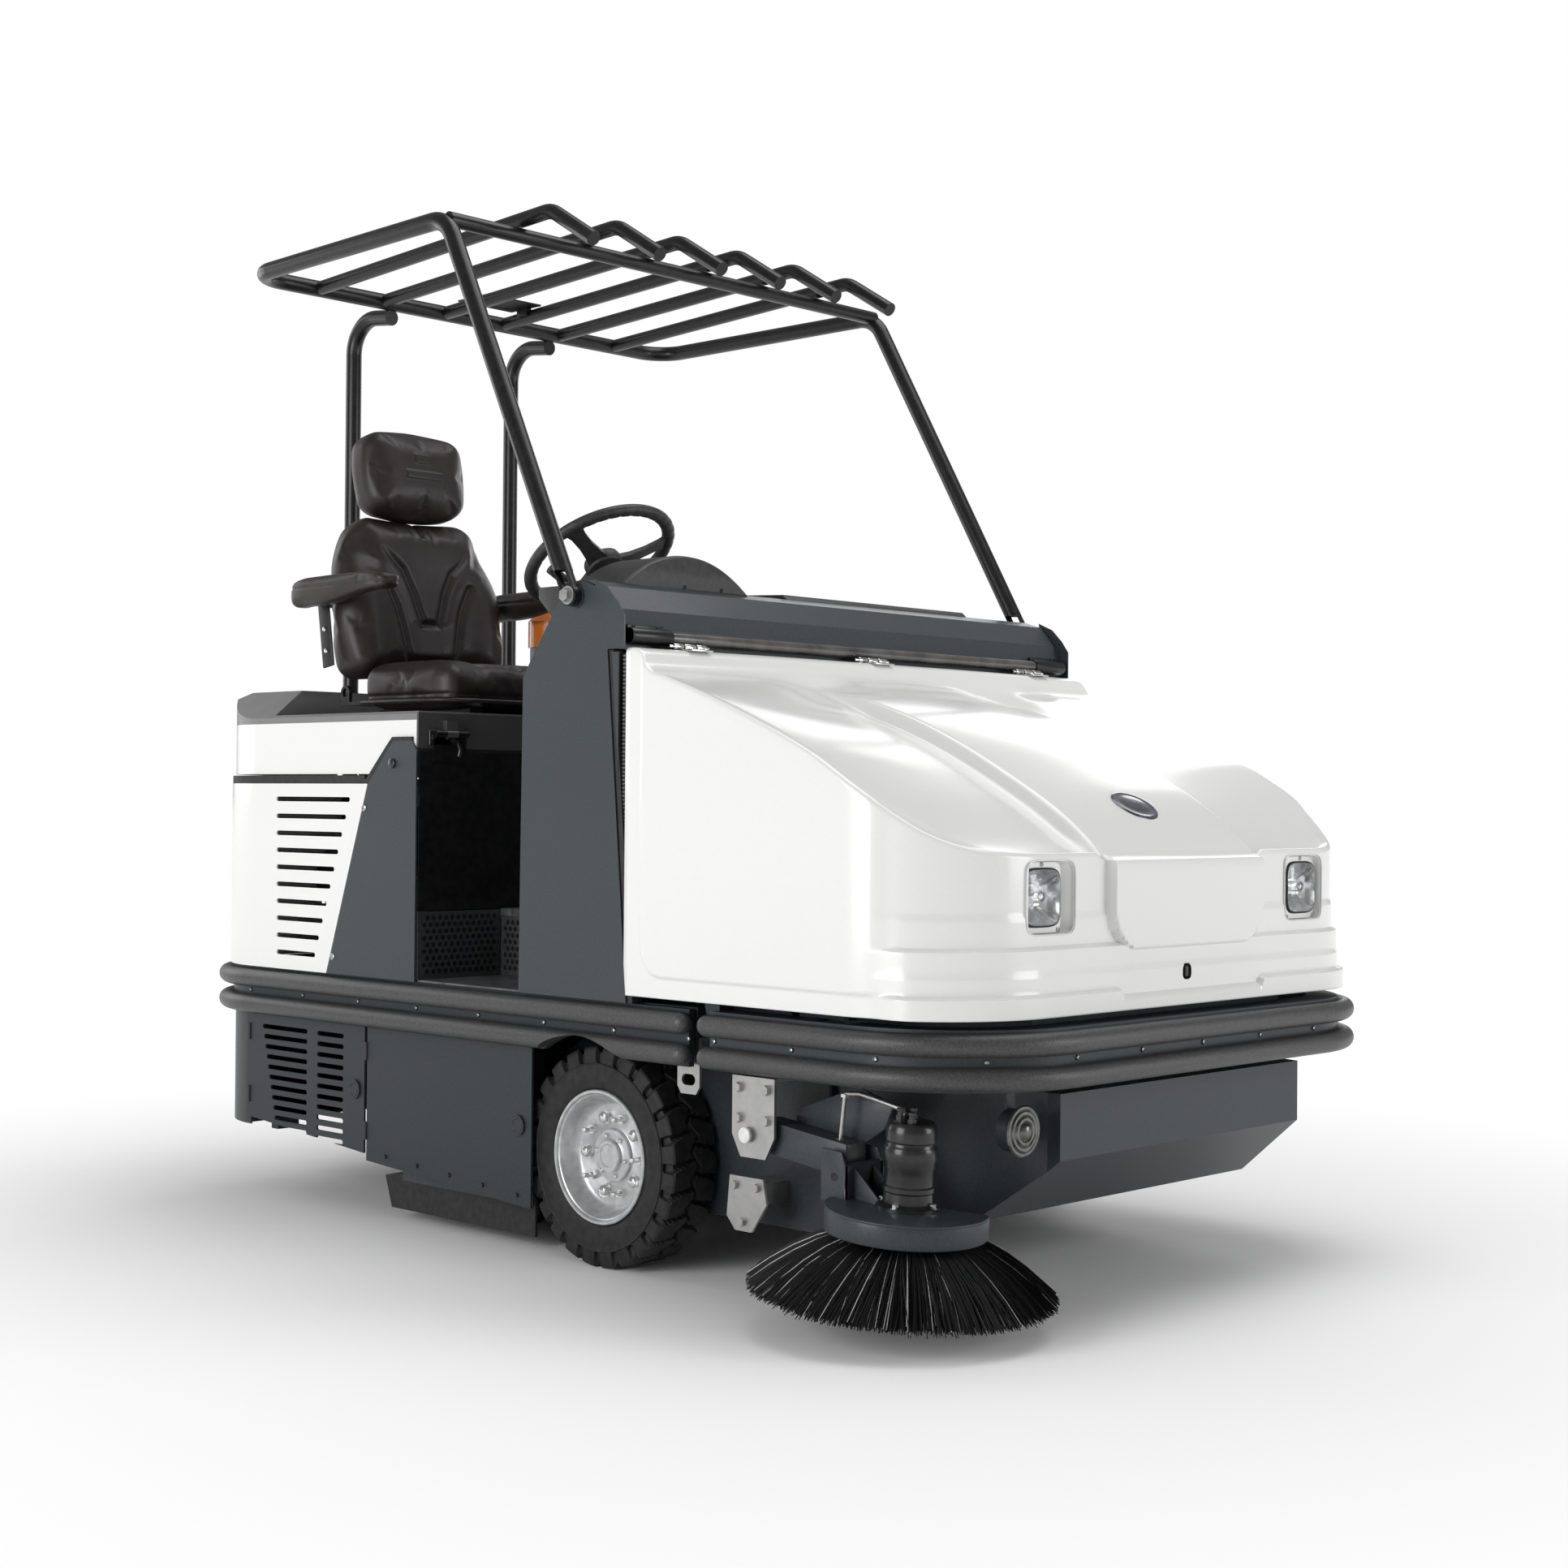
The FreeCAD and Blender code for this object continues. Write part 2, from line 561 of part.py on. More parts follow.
def engine_hood():
    walls = deck_outline(0, 1007, 1126).cut(deck_outline(SHEET, 1000, 1130))
    notches = [box(x - 34, x + 34, 1400, 1500, 1000, 1300) for x in (-POST_X, POST_X)]
    lip = box(-722, 722, 556, 562, 1064, 1142)
    knuckles = []
    y, z = DECK_HINGE
    for x in (-640, 640):
        eye = rod_x(x - 15.5, x + 15.5, y - 8, z, 8).cut(rod_x(x - 16, x + 16, y - 8, z, 4 + RUN))
        strap = box(x - 15.5, x + 15.5, y - 12, y + 6, z + 9, z + 30)
        neck = box(x - 15.5, x + 15.5, y - 12, y - 4, z, z + 12).cut(
            rod_x(x - 16, x + 16, y - 8, z, 7.8))
        knuckles.append(joined([eye, strap, neck]))
    return joined([walls.cut(notches), lip, *knuckles])


def seat_deck():
    """Deck over the engine hood, low under the seat and high behind and beside it."""
    wedge = plate_x([(562, 1126), (562, 1150), (660, DECK_HIGH), (1330, DECK_HIGH), (1463, 1150),
                     (1463, 1126)], -722, 722)
    slope = Part.Face(outline([V(-722, 500, 1140), V(-722, 500, 1300), V(-640, 500, 1300),
                               V(-640, 500, DECK_HIGH)])).extrude(V(0, 1000, 0))
    seat_well = box(-730, -110, 500, 1120, DECK_LOW, 1300)
    notches = [box(x - 34, x + 34, 1400, 1500, 1000, 1300) for x in (-POST_X, POST_X)]
    hollows = [box(-600, 600, 1140, 1390, 1100, DECK_HIGH - 12),
               box(-90, 600, 690, 1140, 1100, DECK_HIGH - 12), deck_outline(40, 1100, 1134)]
    deck = deck_outline(0, 1126, DECK_HIGH).common(wedge)
    deck = deck.cut([*both(slope), seat_well, *notches, *hollows])
    return [deck, rod_z(0, 950, DECK_HIGH, 1336, 60)]


def seat_base():
    return [box(x - 18, x + 18, 590, 930, DECK_LOW, DECK_LOW + 14)
            for x in (SEAT_X - 130, SEAT_X + 130)]


def seat_pan():
    z = DECK_LOW + 14
    runners = [box(x - 14, x + 14, 580, 920, z + 0.4, z + 10) for x in (SEAT_X - 130, SEAT_X + 130)]
    pan = box(SEAT_X - 215, SEAT_X + 215, 575, 985, z + 10, z + 18)
    y, pivot_z = SEAT_PIVOT
    ears = [joined([box(x - 4, x + 4, y - 17, y + 17, z + 10, pivot_z),
                    rod_x(x - 4, x + 4, y, pivot_z, 17)]).cut(
        rod_x(x - 5, x + 5, y, pivot_z, 10 + RUN)) for x in (SEAT_X - 211, SEAT_X + 211)]
    lever = rod(V(SEAT_X - 162, 590, z + 8), V(SEAT_X - 162, 530, z + 4), 4)
    return joined([*runners, pan, *ears, lever])


def seat_cushion():
    return soft_box(SEAT_X - 240, SEAT_X + 240, 555, 893, DECK_LOW + 32, 1246, 28)


def leaning(shape):
    return shape.rotated(V(0, *SEAT_PIVOT), X_AXIS, -BACK_TILT)


def seat_backrest():
    y, z = SEAT_PIVOT
    back = leaning(soft_box(SEAT_X - 222, SEAT_X + 222, 900, 1015, 1222, 1636, 38))
    frame = leaning(box(SEAT_X - 203, SEAT_X + 203, y - 14, y + 12, z - 6, 1270))
    pin = rod_x(SEAT_X - 216, SEAT_X + 216, y, z, 10)
    studs = [rod_x(x, x + 33, *ARMREST_PIVOT, 8) for x in (SEAT_X - 248, SEAT_X + 215)]
    return [back, joined([frame, pin]).cut(back), *[stud.cut(back) for stud in studs]]


def headrest():
    pad = leaning(soft_box(SEAT_X - 152, SEAT_X + 152, 915, 1000, 1650, 1838, 30))
    pins = [leaning(rod(V(x, 958, 1636), V(x, 958, 1660), 7)) for x in (SEAT_X - 55, SEAT_X + 55)]
    return [pad, *[pin.cut(pad) for pin in pins]]


def armrest(side):
    """side is -1 for the right arm, on the -X side of the seat."""
    near, far = sorted((SEAT_X + side * 250, SEAT_X + side * 325))
    pad = soft_box(near, far, 690, 1070, 1410, 1470, 24)
    bracket = box(*sorted((SEAT_X + side * 232, SEAT_X + side * 262)), 985, 1030, 1396, 1446)
    bracket = bracket.cut(rod_x(-900, 900, *ARMREST_PIVOT, 8 + RUN))
    return joined([pad.cut(rod_x(-900, 900, *ARMREST_PIVOT, 8 + RUN)), bracket])


def front_tyre(side):
    half = FRONT_W / 2
    profile = [(RIM_R, -half + 18), (RIM_R + 22, -half), (FRONT_R - 22, -half),
               (FRONT_R, -half + 20), (FRONT_R, half - 20), (FRONT_R - 22, half),
               (RIM_R + 22, half), (RIM_R, half - 18)]
    return revolved(profile, V(side * FRONT_X, 0, FRONT_R), X_AXIS * side)


def front_rim(side):
    """Pressed rim, hub with a centre cap, five wheel bolts and five drive studs."""
    half = FRONT_W / 2
    barrel = [(RIM_R - 9, -half + 6), (RIM_R, -half + 6), (RIM_R, half - 4), (RIM_R - 9, half - 4)]
    disc = [(AXLE_R + RUN, 10), (RIM_R - 9, 26), (RIM_R - 9, 34), (AXLE_R + RUN, 20)]
    hub = [(AXLE_R + RUN, -52), (64, -52), (64, 8), (70, 20), (58, 46), (AXLE_R + RUN, 46)]
    centre = V(side * FRONT_X, 0, FRONT_R)
    axis = X_AXIS * side
    wheel = joined([revolved(p, centre, axis) for p in (barrel, disc, hub)])
    cap = rod(centre + axis * 74, centre + axis * 80, 34)
    cap = joined([cap, revolved([(34, 46), (40, 46), (40, 76), (34, 80)], centre, axis)])
    nuts = []
    for k in range(10):
        a = math.radians(36 * k + 18)
        spot = centre + axis * 31 + V(0, 92 * math.cos(a), 92 * math.sin(a))
        nuts.append(hex_head(spot, axis, 24 if k % 2 else 17, 20 if k % 2 else 14))
    return [wheel, cap, *[nut.cut(wheel) for nut in nuts]]


def rear_wheel():
    half = REAR_W / 2
    centre = V(0, REAR_Y, REAR_R)
    tyre = revolved([(112, -half + 12), (126, -half), (REAR_R - 18, -half), (REAR_R, -half + 18),
                     (REAR_R, half - 18), (REAR_R - 18, half), (126, half), (112, half - 12)],
                    centre, X_AXIS)
    rim = revolved([(REAR_AXLE_R + RUN, -62), (42, -62), (42, -12), (102, -12), (102, -half + 6),
                    (110, -half + 6), (110, half - 6), (102, half - 6), (102, 12), (42, 12),
                    (42, 62), (REAR_AXLE_R + RUN, 62)], centre, X_AXIS)
    return tyre, rim


def rear_fork():
    crown = box(-86, 86, REAR_Y - 60, REAR_Y + 60, 418, 436)
    legs = both(box(-86, -68, REAR_Y - 34, REAR_Y + 34, 160, 418))
    axle = rod_x(-86, 86, REAR_Y, REAR_R, REAR_AXLE_R)
    kingpin = rod_z(0, REAR_Y, 436, 545, AXLE_R)
    collar = rod_z(0, REAR_Y, 436, 480, 48)
    return joined([crown, *legs, axle, kingpin, collar])


def ring_pull(x, y, z):
    ring = Part.makeTorus(15, 3, V(x - 3, y, z), X_AXIS)
    boss = rod_x(x - 5, x, y, z, 22)
    return boss.cut(Part.makeTorus(15, 3.2, V(x - 3, y, z), X_AXIS)), ring


def louvre_door():
    """Right-hand door; the left one is its mirror image."""
    door = plate_x([(777, 148), (1238, 186), (1238, 434), (777, 434)], -LOWER_HALF, -LOWER_HALF + 5)
    count = 11
    rows = []
    for k in range(count):
        share = k / (count - 1)
        z = 406 - 243 * share
        rows.append((1002, 1186 - 59 * share, z + 6 * share, 11))
        rows.append((858, 962, z, 11))
    door = door.cut(slot_cutters(-LOWER_HALF - 1, -LOWER_HALF + 6, rows))
    knuckles = [rod_z(-LOWER_HALF - 1, 1240.5, z, z + 40, 4) for z in (220, 370)]
    boss, ring = ring_pull(-LOWER_HALF, 812, 290)
    return [joined([door, *knuckles]), boss, ring]


def brush_door():
    door = plate_x([(190, 97), (767, 133), (767, 434), (190, 434)], -LOWER_HALF, -LOWER_HALF + 5)
    knuckles = [rod_z(-LOWER_HALF - 1, 769.5, z, z + 40, 4) for z in (180, 360)]
    boss, ring = ring_pull(-LOWER_HALF, 232, 268)
    screws = [hex_head(V(-LOWER_HALF, y, 118 + (y - 190) * 0.062), V(-1, 0, 0), 9, 4)
              for y in (235, 350, 465, 580, 695)]
    return [joined([door, *knuckles]), boss, ring, *screws]


def brush_arms():
    arm = plate_x([(BRUSH_Y - 22, BRUSH_Z - 22), (BRUSH_Y + 22, BRUSH_Z - 22), (785, 334),
                   (785, 372), (745, 372), (BRUSH_Y - 22, BRUSH_Z + 22)], -580, -566)
    arm = arm.cut(rod_x(-581, -565, 765, 350, LINK_PIN_R + RUN))
    pin = rod_x(-566, -510, BRUSH_Y, BRUSH_Z, 12)
    tie = box(-566, 566, 700, 730, 316, 340)
    return joined([*both(arm), *both(pin), tie])


def main_brush():
    bore = rod_x(-BRUSH_HALF - 1, -BRUSH_HALF + 30, BRUSH_Y, BRUSH_Z, 12 + RUN)
    core = rod_x(-BRUSH_HALF, BRUSH_HALF, BRUSH_Y, BRUSH_Z, 70)
    bristles = rod_x(-BRUSH_HALF + 12, BRUSH_HALF - 12, BRUSH_Y, BRUSH_Z, BRUSH_R)
    return [core.cut(both(bore)), bristles.cut(core)]


def tilted(shape):
    return shape.rotated(SIDE_BRUSH, X_AXIS, SIDE_TILT)


def side_arm():
    """Arm, gussets and the round cover over the side brush, one welded piece."""
    c = SIDE_BRUSH
    y, z = SIDE_PIVOT
    tube = plate_x([(y + 34, z - 26), (y + 34, z + 26), (y - 20, z + 30), (-676, 322), (-676, 262),
                    (y - 20, z - 30)], -672, -618)
    tube = tube.cut(rod_x(-673, -617, y, z, 14 + RUN))
    cover = rod_z(c.x, c.y, 178, 222, 150).cut([rod_z(c.x, c.y, 177, 218, 146),
                                                rod_z(c.x, c.y, 210, 230, 20)])
    cover = tilted(cover)
    gussets = [plate_x([(-676, 322), (-652, 322), (-652, 212), (-728, 218), (-728, 228)], x, x + 6)
               for x in (-700, -596)]
    bridge = box(-700, -590, -676, -652, 240, 300)
    return joined([tube, cover, *gussets, bridge])


def side_motor():
    c = SIDE_BRUSH
    flange = rod_z(c.x, c.y, 222, 232, 56)
    can = rod_z(c.x, c.y, 232, 382, 45)
    ribs = [rod_z(c.x, c.y, z, z + 8, 48) for z in (262, 308, 354)]
    ports = [rod_z(c.x + 20, c.y + dy, 382, 398, 9) for dy in (-18, 18)]
    motor = joined([flange, can, *ribs, *ports]).cut(rod_z(c.x, c.y, 221, 242, 12 + RUN))
    bolts = [hex_head(V(c.x + dx, c.y, 222), Z_AXIS, 13, 9) for dx in (64, -64)]
    return [tilted(motor), *[tilted(bolt) for bolt in bolts]]


def side_brush():
    c = SIDE_BRUSH
    plate = rod_z(c.x, c.y, 174, 194, 118)
    shaft = rod_z(c.x, c.y, 194, 240, 12)
    bristles = revolved([(60, 174), (116, 174), (SIDE_R, c.z), (SIDE_R - 46, c.z)],
                        V(c.x, c.y, 0), Z_AXIS)
    return [tilted(joined([plate, shaft])), tilted(bristles)]


def bar_between(start, end, half_width, x0, x1):
    """Flat link with round ends between two (Y, Z) points."""
    dy, dz = end[0] - start[0], end[1] - start[1]
    length = math.hypot(dy, dz)
    ny, nz = -dz / length * half_width, dy / length * half_width
    body = plate_x([(start[0] + ny, start[1] + nz), (end[0] + ny, end[1] + nz),
                    (end[0] - ny, end[1] - nz), (start[0] - ny, start[1] - nz)], x0, x1)
    return joined([body, rod_x(x0, x1, *start, half_width), rod_x(x0, x1, *end, half_width)])


def lift_arms():
    arm = bar_between(ARM_PIVOT, HOPPER_PIVOT, 32, -ARM_X[1], -ARM_X[0])
    arm = arm.cut(rod_x(-ARM_X[1] - 1, -ARM_X[0] + 1, *HOPPER_PIVOT, HOPPER_PIN_R + RUN))
    rod_pin = rod_x(-ARM_X[0], -CYLINDER_X + 20, *ROD_PIN, LINK_PIN_R)
    shaft = rod_x(-642, 642, *ARM_PIVOT, ARM_PIN_R)
    return joined([*both(arm), *both(rod_pin), shaft])


def lower_links():
    start = (ARM_PIVOT[0], ARM_PIVOT[1] - LINK_DROP)
    end = (HOPPER_PIVOT[0], HOPPER_PIVOT[1] - LINK_DROP)
    link = bar_between(start, end, 22, -ARM_X[1], -ARM_X[0])
    bores = [rod_x(-ARM_X[1] - 1, -ARM_X[0] + 1, *start, LINK_PIN_R + RUN),
             rod_x(-ARM_X[1] - 1, -ARM_X[0] + 1, *end, LINK_PIN_R + 3 * RUN)]
    return both(link.cut(bores))


def cylinder_axis():
    way = V(0, ROD_PIN[0] - BASE_PIN[0], ROD_PIN[1] - BASE_PIN[1])
    length = way.Length
    return way.normalize(), length


def lift_barrels():
    way, length = cylinder_axis()
    base = V(-CYLINDER_X, *BASE_PIN)
    eye = rod_x(-CYLINDER_X - 14, -CYLINDER_X + 14, *BASE_PIN, 24)
    tube = rod(base + way * 18, base + way * (length - 42), 26)
    bore = rod(base + way * 46, base + way * (length - 41), 16 + RUN)
    barrel = joined([eye, tube]).cut([bore, rod_x(-620, -500, *BASE_PIN, LINK_PIN_R + RUN)])
    return both(barrel)


def lift_rods():
    """The eye is a slot, because the rod follows the arm at a constant rate."""
    way, length = cylinder_axis()
    base = V(-CYLINDER_X, *BASE_PIN)
    pin = base + way * length
    shaft = rod(base + way * 52, pin - way * 30, 16)
    ends = [pin + way * reach for reach in (-EYE_SLACK, EYE_SLACK)]
    head = [Part.makeCylinder(24, 24, V(-CYLINDER_X - 12, e.y, e.z), X_AXIS) for e in ends]
    slot = [Part.makeCylinder(12.3, 30, V(-CYLINDER_X - 15, e.y, e.z), X_AXIS) for e in ends]
    side = V(0, -way.z, way.y)
    def bridge(half, x0, x1):
        corners = [ends[0] + side * half, ends[1] + side * half,
                   ends[1] - side * half, ends[0] - side * half]
        return plate_x([(p.y, p.z) for p in corners], x0, x1)
    solid = joined([shaft, *head, bridge(24, -CYLINDER_X - 12, -CYLINDER_X + 12)])
    solid = solid.cut([*slot, bridge(12.3, -CYLINDER_X - 15, -CYLINDER_X + 15)])
    return both(solid)


def hopper_block(inset):
    profile = [(HOPPER_REAR, 166), (-764, 160), (-930, 289), (-930, 414), (-872, 414),
               (-872, 760), (-620, 960), (HOPPER_REAR, 1030)]
    side = Part.makePolygon([V(-600, y, z) for y, z in [*profile, profile[0]]])
    plan = [(-HOPPER_HALF, HOPPER_REAR), (-HOPPER_HALF, -480), (-360, -900), (-360, -932),
            (467, -932), (HOPPER_HALF, -700), (HOPPER_HALF, HOPPER_REAR)]
    top = Part.makePolygon([V(x, y, 100) for x, y in [*plan, plan[0]]])
    if inset:
        side = side.makeOffset2D(-inset, 2)
        top = top.makeOffset2D(-inset, 2)
    return Part.Face(side).extrude(V(1200, 0, 0)).common(Part.Face(top).extrude(V(0, 0, 1000)))


def hopper_tub():
    tub = hopper_block(0).cut(hopper_block(SHEET))
    tub = tub.cut(box(-500, 500, HOPPER_REAR - 10, HOPPER_REAR + 1, 178, 398))
    ears = [box(x - 8, x + 8, -172, HOPPER_REAR - 2, 390, 420).cut(rod_x(x - 9, x + 9, -153, 404, 8.1))
            for x in (-515, 515)]
    return joined([tub, *ears])


def hopper_flap():
    bar = rod_x(-529, 529, -153, 404, 8)
    sheet = box(-496, 496, -147, -143, 174, 404)
    return joined([bar, sheet])


def front_frame():
    channel = u_wall(GROOVE_HALF, GROOVE_FRONT, GROOVE_R_FRONT, FRONT_END_Y - 14, *CHANNEL_Z, 14)
    channel = channel.cut(box(-690, 690, FRONT_END_Y - 40, FRONT_END_Y + 1, 400, 600))
    y, z = HOPPER_PIVOT
    plate = box(-CHEEK_X[1], -CHEEK_X[0], -640, -525, z - LINK_DROP - 30, z + 40)
    pins = [rod_x(-CHEEK_X[0], -ARM_X[0] + 2, y, z, HOPPER_PIN_R),
            rod_x(-CHEEK_X[0], -ARM_X[0] + 2, y, z - LINK_DROP, LINK_PIN_R)]
    outrigger = box(-700, -CHEEK_X[1], -636, -606, 460, 546)
    side_rail = box(-697, -655, -606, -356, CHANNEL_Z[0] + 40, CHANNEL_Z[1])
    post = box(-690, -650, -360, -330, 500, 700)
    stay = plate_x([(-360, 520), (-330, 520), (-132, 1240), (-162, 1240)], -690, -660)
    header = box(-700, 700, -162, -132, 1218, 1244)
    shelf = box(-466, 466, -984, -932, 437, 443)
    left = [plate, *pins, outrigger, side_rail, post, stay]
    frame = joined([channel, *[s for part in left for s in both(part)], header])
    inner_left = box(HOPPER_HALF, CHEEK_X[0], -636, -606, 460, 546)
    inner_right = box(-CHEEK_X[0], -470, -636, -606, 460, 546).cut(hopper_block(0))
    hood_rest = u_wall(GROOVE_HALF - 14, GROOVE_FRONT + 14, GROOVE_R_FRONT - 14, -700, 543, 549, 50)
    y, z = HOOD_HINGE
    hinges = []
    for x in HOOD_HINGE_X:
        hinges.append(rod_x(x - 34, x + 34, y, z, 4))
        hinges.extend(box(x0, x0 + 6, y - 6, y + 5, 1244, z + 4) for x0 in (x - 34, x + 28))
    frame = joined([frame, inner_left, inner_right, hood_rest, shelf, *hinges])
    horn = rod(V(-450, -880, 352), V(-450, -908, 352), 40)
    hanger = box(-462, -438, -884, -880, 352, 437)
    arm = box(-462, -438, -960, -880, 433, 437)
    frame = max(frame.Solids, key=lambda s: s.Volume)
    zones = [box(-800, 800, -1100, FRAME_SPLIT_Y, 0, 1400), box(-800, -440, FRAME_SPLIT_Y, 0, 0, 1400),
             box(440, 800, FRAME_SPLIT_Y, 0, 0, 1400), box(-440, 440, FRAME_SPLIT_Y, 0, 0, 1400)]
    members = [solid for zone in zones for solid in frame.common(zone).Solids]
    return [*members, joined([horn, hanger, arm])]


def hood_block(inset):
    top = [(-154, LEDGE_Z - 1), (-130, 1262), (-196, 1252), (-465, 1150), (-717, 1034), (-900, 915),
           (-962, 848), (-968, 690), (-986, 640), (-990, 572), (-990, LEDGE_Z - 1)]
    side = Part.makePolygon([V(-800, y, z) for y, z in [*top, top[0]]])
    if inset:
        side = side.makeOffset2D(-inset, 2)
    profile = Part.Face(side).extrude(V(1600, 0, 0))
    half = BODY_HALF + 7 - inset
    plan = u_block(half, -990 + inset, 275 - inset, -100 - inset, 500, 1300)
    return profile.common(plan)


def hood_shell():
    outer = hood_block(0)
    inner = hood_block(SHEET)
    below = box(-900, 900, -1200, 0, 400, LEDGE_Z + 12)
    behind = plate_x([(-170, 400), (-146, 1252), (0, 1252), (0, 400)], -725, 725)
    shell = outer.cut([inner, below, behind])
    return max(shell.Solids, key=lambda s: s.Volume)


def headlamps():
    lamps = []
    for x in (-422, 422):
        lens = soft_box(x - 55, x + 55, -972, -962.5, 728, 836, 4)
        lamps.append(lens)
    return lamps


def hood_with_lamp_openings():
    openings = [box(x - 62, x + 62, -1010, -925, 720, 844) for x in (-422, 422)]
    shell = hood_shell().cut(openings)
    y, z = HOOD_HINGE
    hinges = []
    for x in HOOD_HINGE_X:
        hinges.append(rod_x(x - 26, x + 26, y, z, 7))
        hinges.append(box(x - 26, x + 26, y - 30, y - 5, z - 7, z - 2))
    gaps = [box(x0, x0 + 8, y - 8, y + 8, 1240, z + 6) for x in HOOD_HINGE_X for x0 in (x - 35, x + 27)]
    shell = joined([shell.cut(gaps), *hinges])
    shell = shell.cut([rod_x(x - 27, x + 27, y, z, 4 + RUN) for x in HOOD_HINGE_X])
    bezels = [box(x - 66, x + 66, -962, -950, 716, 848).cut(shell) for x in (-422, 422)]
    return [max(shell.Solids, key=lambda s: s.Volume), *bezels]


def save(name, shape):
    shapes = shape if isinstance(shape, list) else [shape]
    whole = group(shapes) if len(shapes) > 1 else shapes[0]
    moved = whole.translated(ROW_ORIGIN * -1)
    moved.exportStep(f"parts/{name}.step")
    return moved.BoundBox


def build():
    guard = guard_frame()
    rear_tyre, rear_rim = rear_wheel()
    doors = {"brush_door": brush_door(), "louvre_door": louvre_door()}
    nodes = {
        "chassis_frame": chassis_frame() + pedal_brackets(),
        "side_brush_hanger": side_brush_hanger() + guard_fixings(),
        "brush_chamber": brush_chamber(),
        "rubber_parts": rubber_parts(),
        "lower_body": lower_body(),
        "rear_bumper": rear_bumper(),
        "pillars": pillars(),
        "quarter_panels": quarter_panels(),
        "rear_shell": rear_shell(),
        "dash_panel": dash_panel(),
        "light_bar": light_bar(),
        "dash_covers": dash_covers(),
        "footwell_floor": footwell_floor(),
        "riser_grilles": riser_grilles(),
        "engine_bay_wall": engine_bay_wall(),
        "guard_frame": guard,
        "roof_bars": roof_bars(group(guard)),
        "steering_column": steering_column(),
        "power_unit": power_unit(),
        "steering_wheel": steering_wheel(),
        "stalk": stalk(),
        "drive_pedal": pedal(-500, 74, 0),
        "brake_pedal": pedal(-320, 62, 14),
        "engine_hood": engine_hood(),
        "seat_deck": seat_deck(),
        "beacon_lens": revolved([(0, 1336), (65, 1336), (65, 1402), (48, 1424), (0, 1430)],
                                V(0, 950, 0), Z_AXIS),
        "seat_base": seat_base(),
        "seat_pan": seat_pan(),
        "seat_cushion": seat_cushion(),
        "seat_backrest": seat_backrest(),
        "headrest": headrest(),
        "armrest_right": armrest(-1),
        "armrest_left": armrest(1),
        "front_tyre_right": front_tyre(-1),
        "front_rim_right": front_rim(-1),
        "front_tyre_left": front_tyre(1),
        "front_rim_left": front_rim(1),
        "rear_tyre": rear_tyre,
        "rear_rim": rear_rim,
        "rear_fork": rear_fork(),
        "brush_arms": brush_arms(),
        "main_brush": main_brush(),
        "side_arm": side_arm(),
        "side_motor": side_motor(),
        "side_brush": side_brush(),
        "lift_arms": lift_arms(),
        "lower_links": lower_links(),
        "lift_barrels": lift_barrels(),
        "lift_rods": lift_rods(),
        "hopper_tub": hopper_tub(),
        "hopper_flap": hopper_flap(),
        "front_frame": front_frame(),
        "front_bumper": front_bumper(),
        "hood_shell": hood_with_lamp_openings(),
        "headlamps": headlamps(),
    }
    for name, pieces in doors.items():
        nodes[f"{name}_right"] = pieces
        nodes[f"{name}_left"] = [mirrored(piece) for piece in pieces]
    return nodes


def main():
    os.makedirs("parts", exist_ok=True)
    extent = FreeCAD.BoundBox()
    for name, shape in build().items():
        extent.add(save(name, shape))
    print("box", [round(v, 1) for v in (extent.XMin, extent.XMax, extent.YMin, extent.YMax,
                                        extent.ZMin, extent.ZMax)])


main()
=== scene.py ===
import bmesh
import bpy
import json
import math
import numpy as np
from mathutils import Matrix, Vector


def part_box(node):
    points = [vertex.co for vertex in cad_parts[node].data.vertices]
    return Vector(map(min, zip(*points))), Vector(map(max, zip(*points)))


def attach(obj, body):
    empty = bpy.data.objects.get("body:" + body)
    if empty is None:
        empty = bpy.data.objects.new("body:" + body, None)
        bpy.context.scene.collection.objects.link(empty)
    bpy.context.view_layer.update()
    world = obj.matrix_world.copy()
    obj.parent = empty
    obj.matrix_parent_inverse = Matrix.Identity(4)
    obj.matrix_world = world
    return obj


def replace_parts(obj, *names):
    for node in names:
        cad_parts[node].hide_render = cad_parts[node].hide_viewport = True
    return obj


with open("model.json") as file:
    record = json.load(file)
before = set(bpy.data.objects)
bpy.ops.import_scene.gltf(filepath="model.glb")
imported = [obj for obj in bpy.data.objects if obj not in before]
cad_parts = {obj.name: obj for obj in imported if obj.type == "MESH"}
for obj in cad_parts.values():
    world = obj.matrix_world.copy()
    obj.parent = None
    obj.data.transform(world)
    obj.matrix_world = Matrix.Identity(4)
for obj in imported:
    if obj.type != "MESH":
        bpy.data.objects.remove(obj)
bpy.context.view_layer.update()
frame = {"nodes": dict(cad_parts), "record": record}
nodes = frame["nodes"]

# Design frame: millimetres, X = 0 on the centre plane, Y = 0 on the front axle, Z = 0 on the floor.
right_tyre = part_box("front_tyre_right")
left_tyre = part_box("front_tyre_left")
ORIGIN = Vector(((right_tyre[0].x + left_tyre[1].x) / 2, (right_tyre[0].y + right_tyre[1].y) / 2, 0))

RANDOM = np.random.default_rng(7)
FRONT, UP = (0, -1, 0), (0, 0, 1)


def at(x, y, z):
    """Design millimetres to a place in the scene."""
    return ORIGIN + Vector((x, y, z)) / 1000


def metres(points):
    """Array of design millimetres to scene metres."""
    return np.asarray(points, float) / 1000 + np.array(ORIGIN)


# ---------------------------------------------------------------- materials

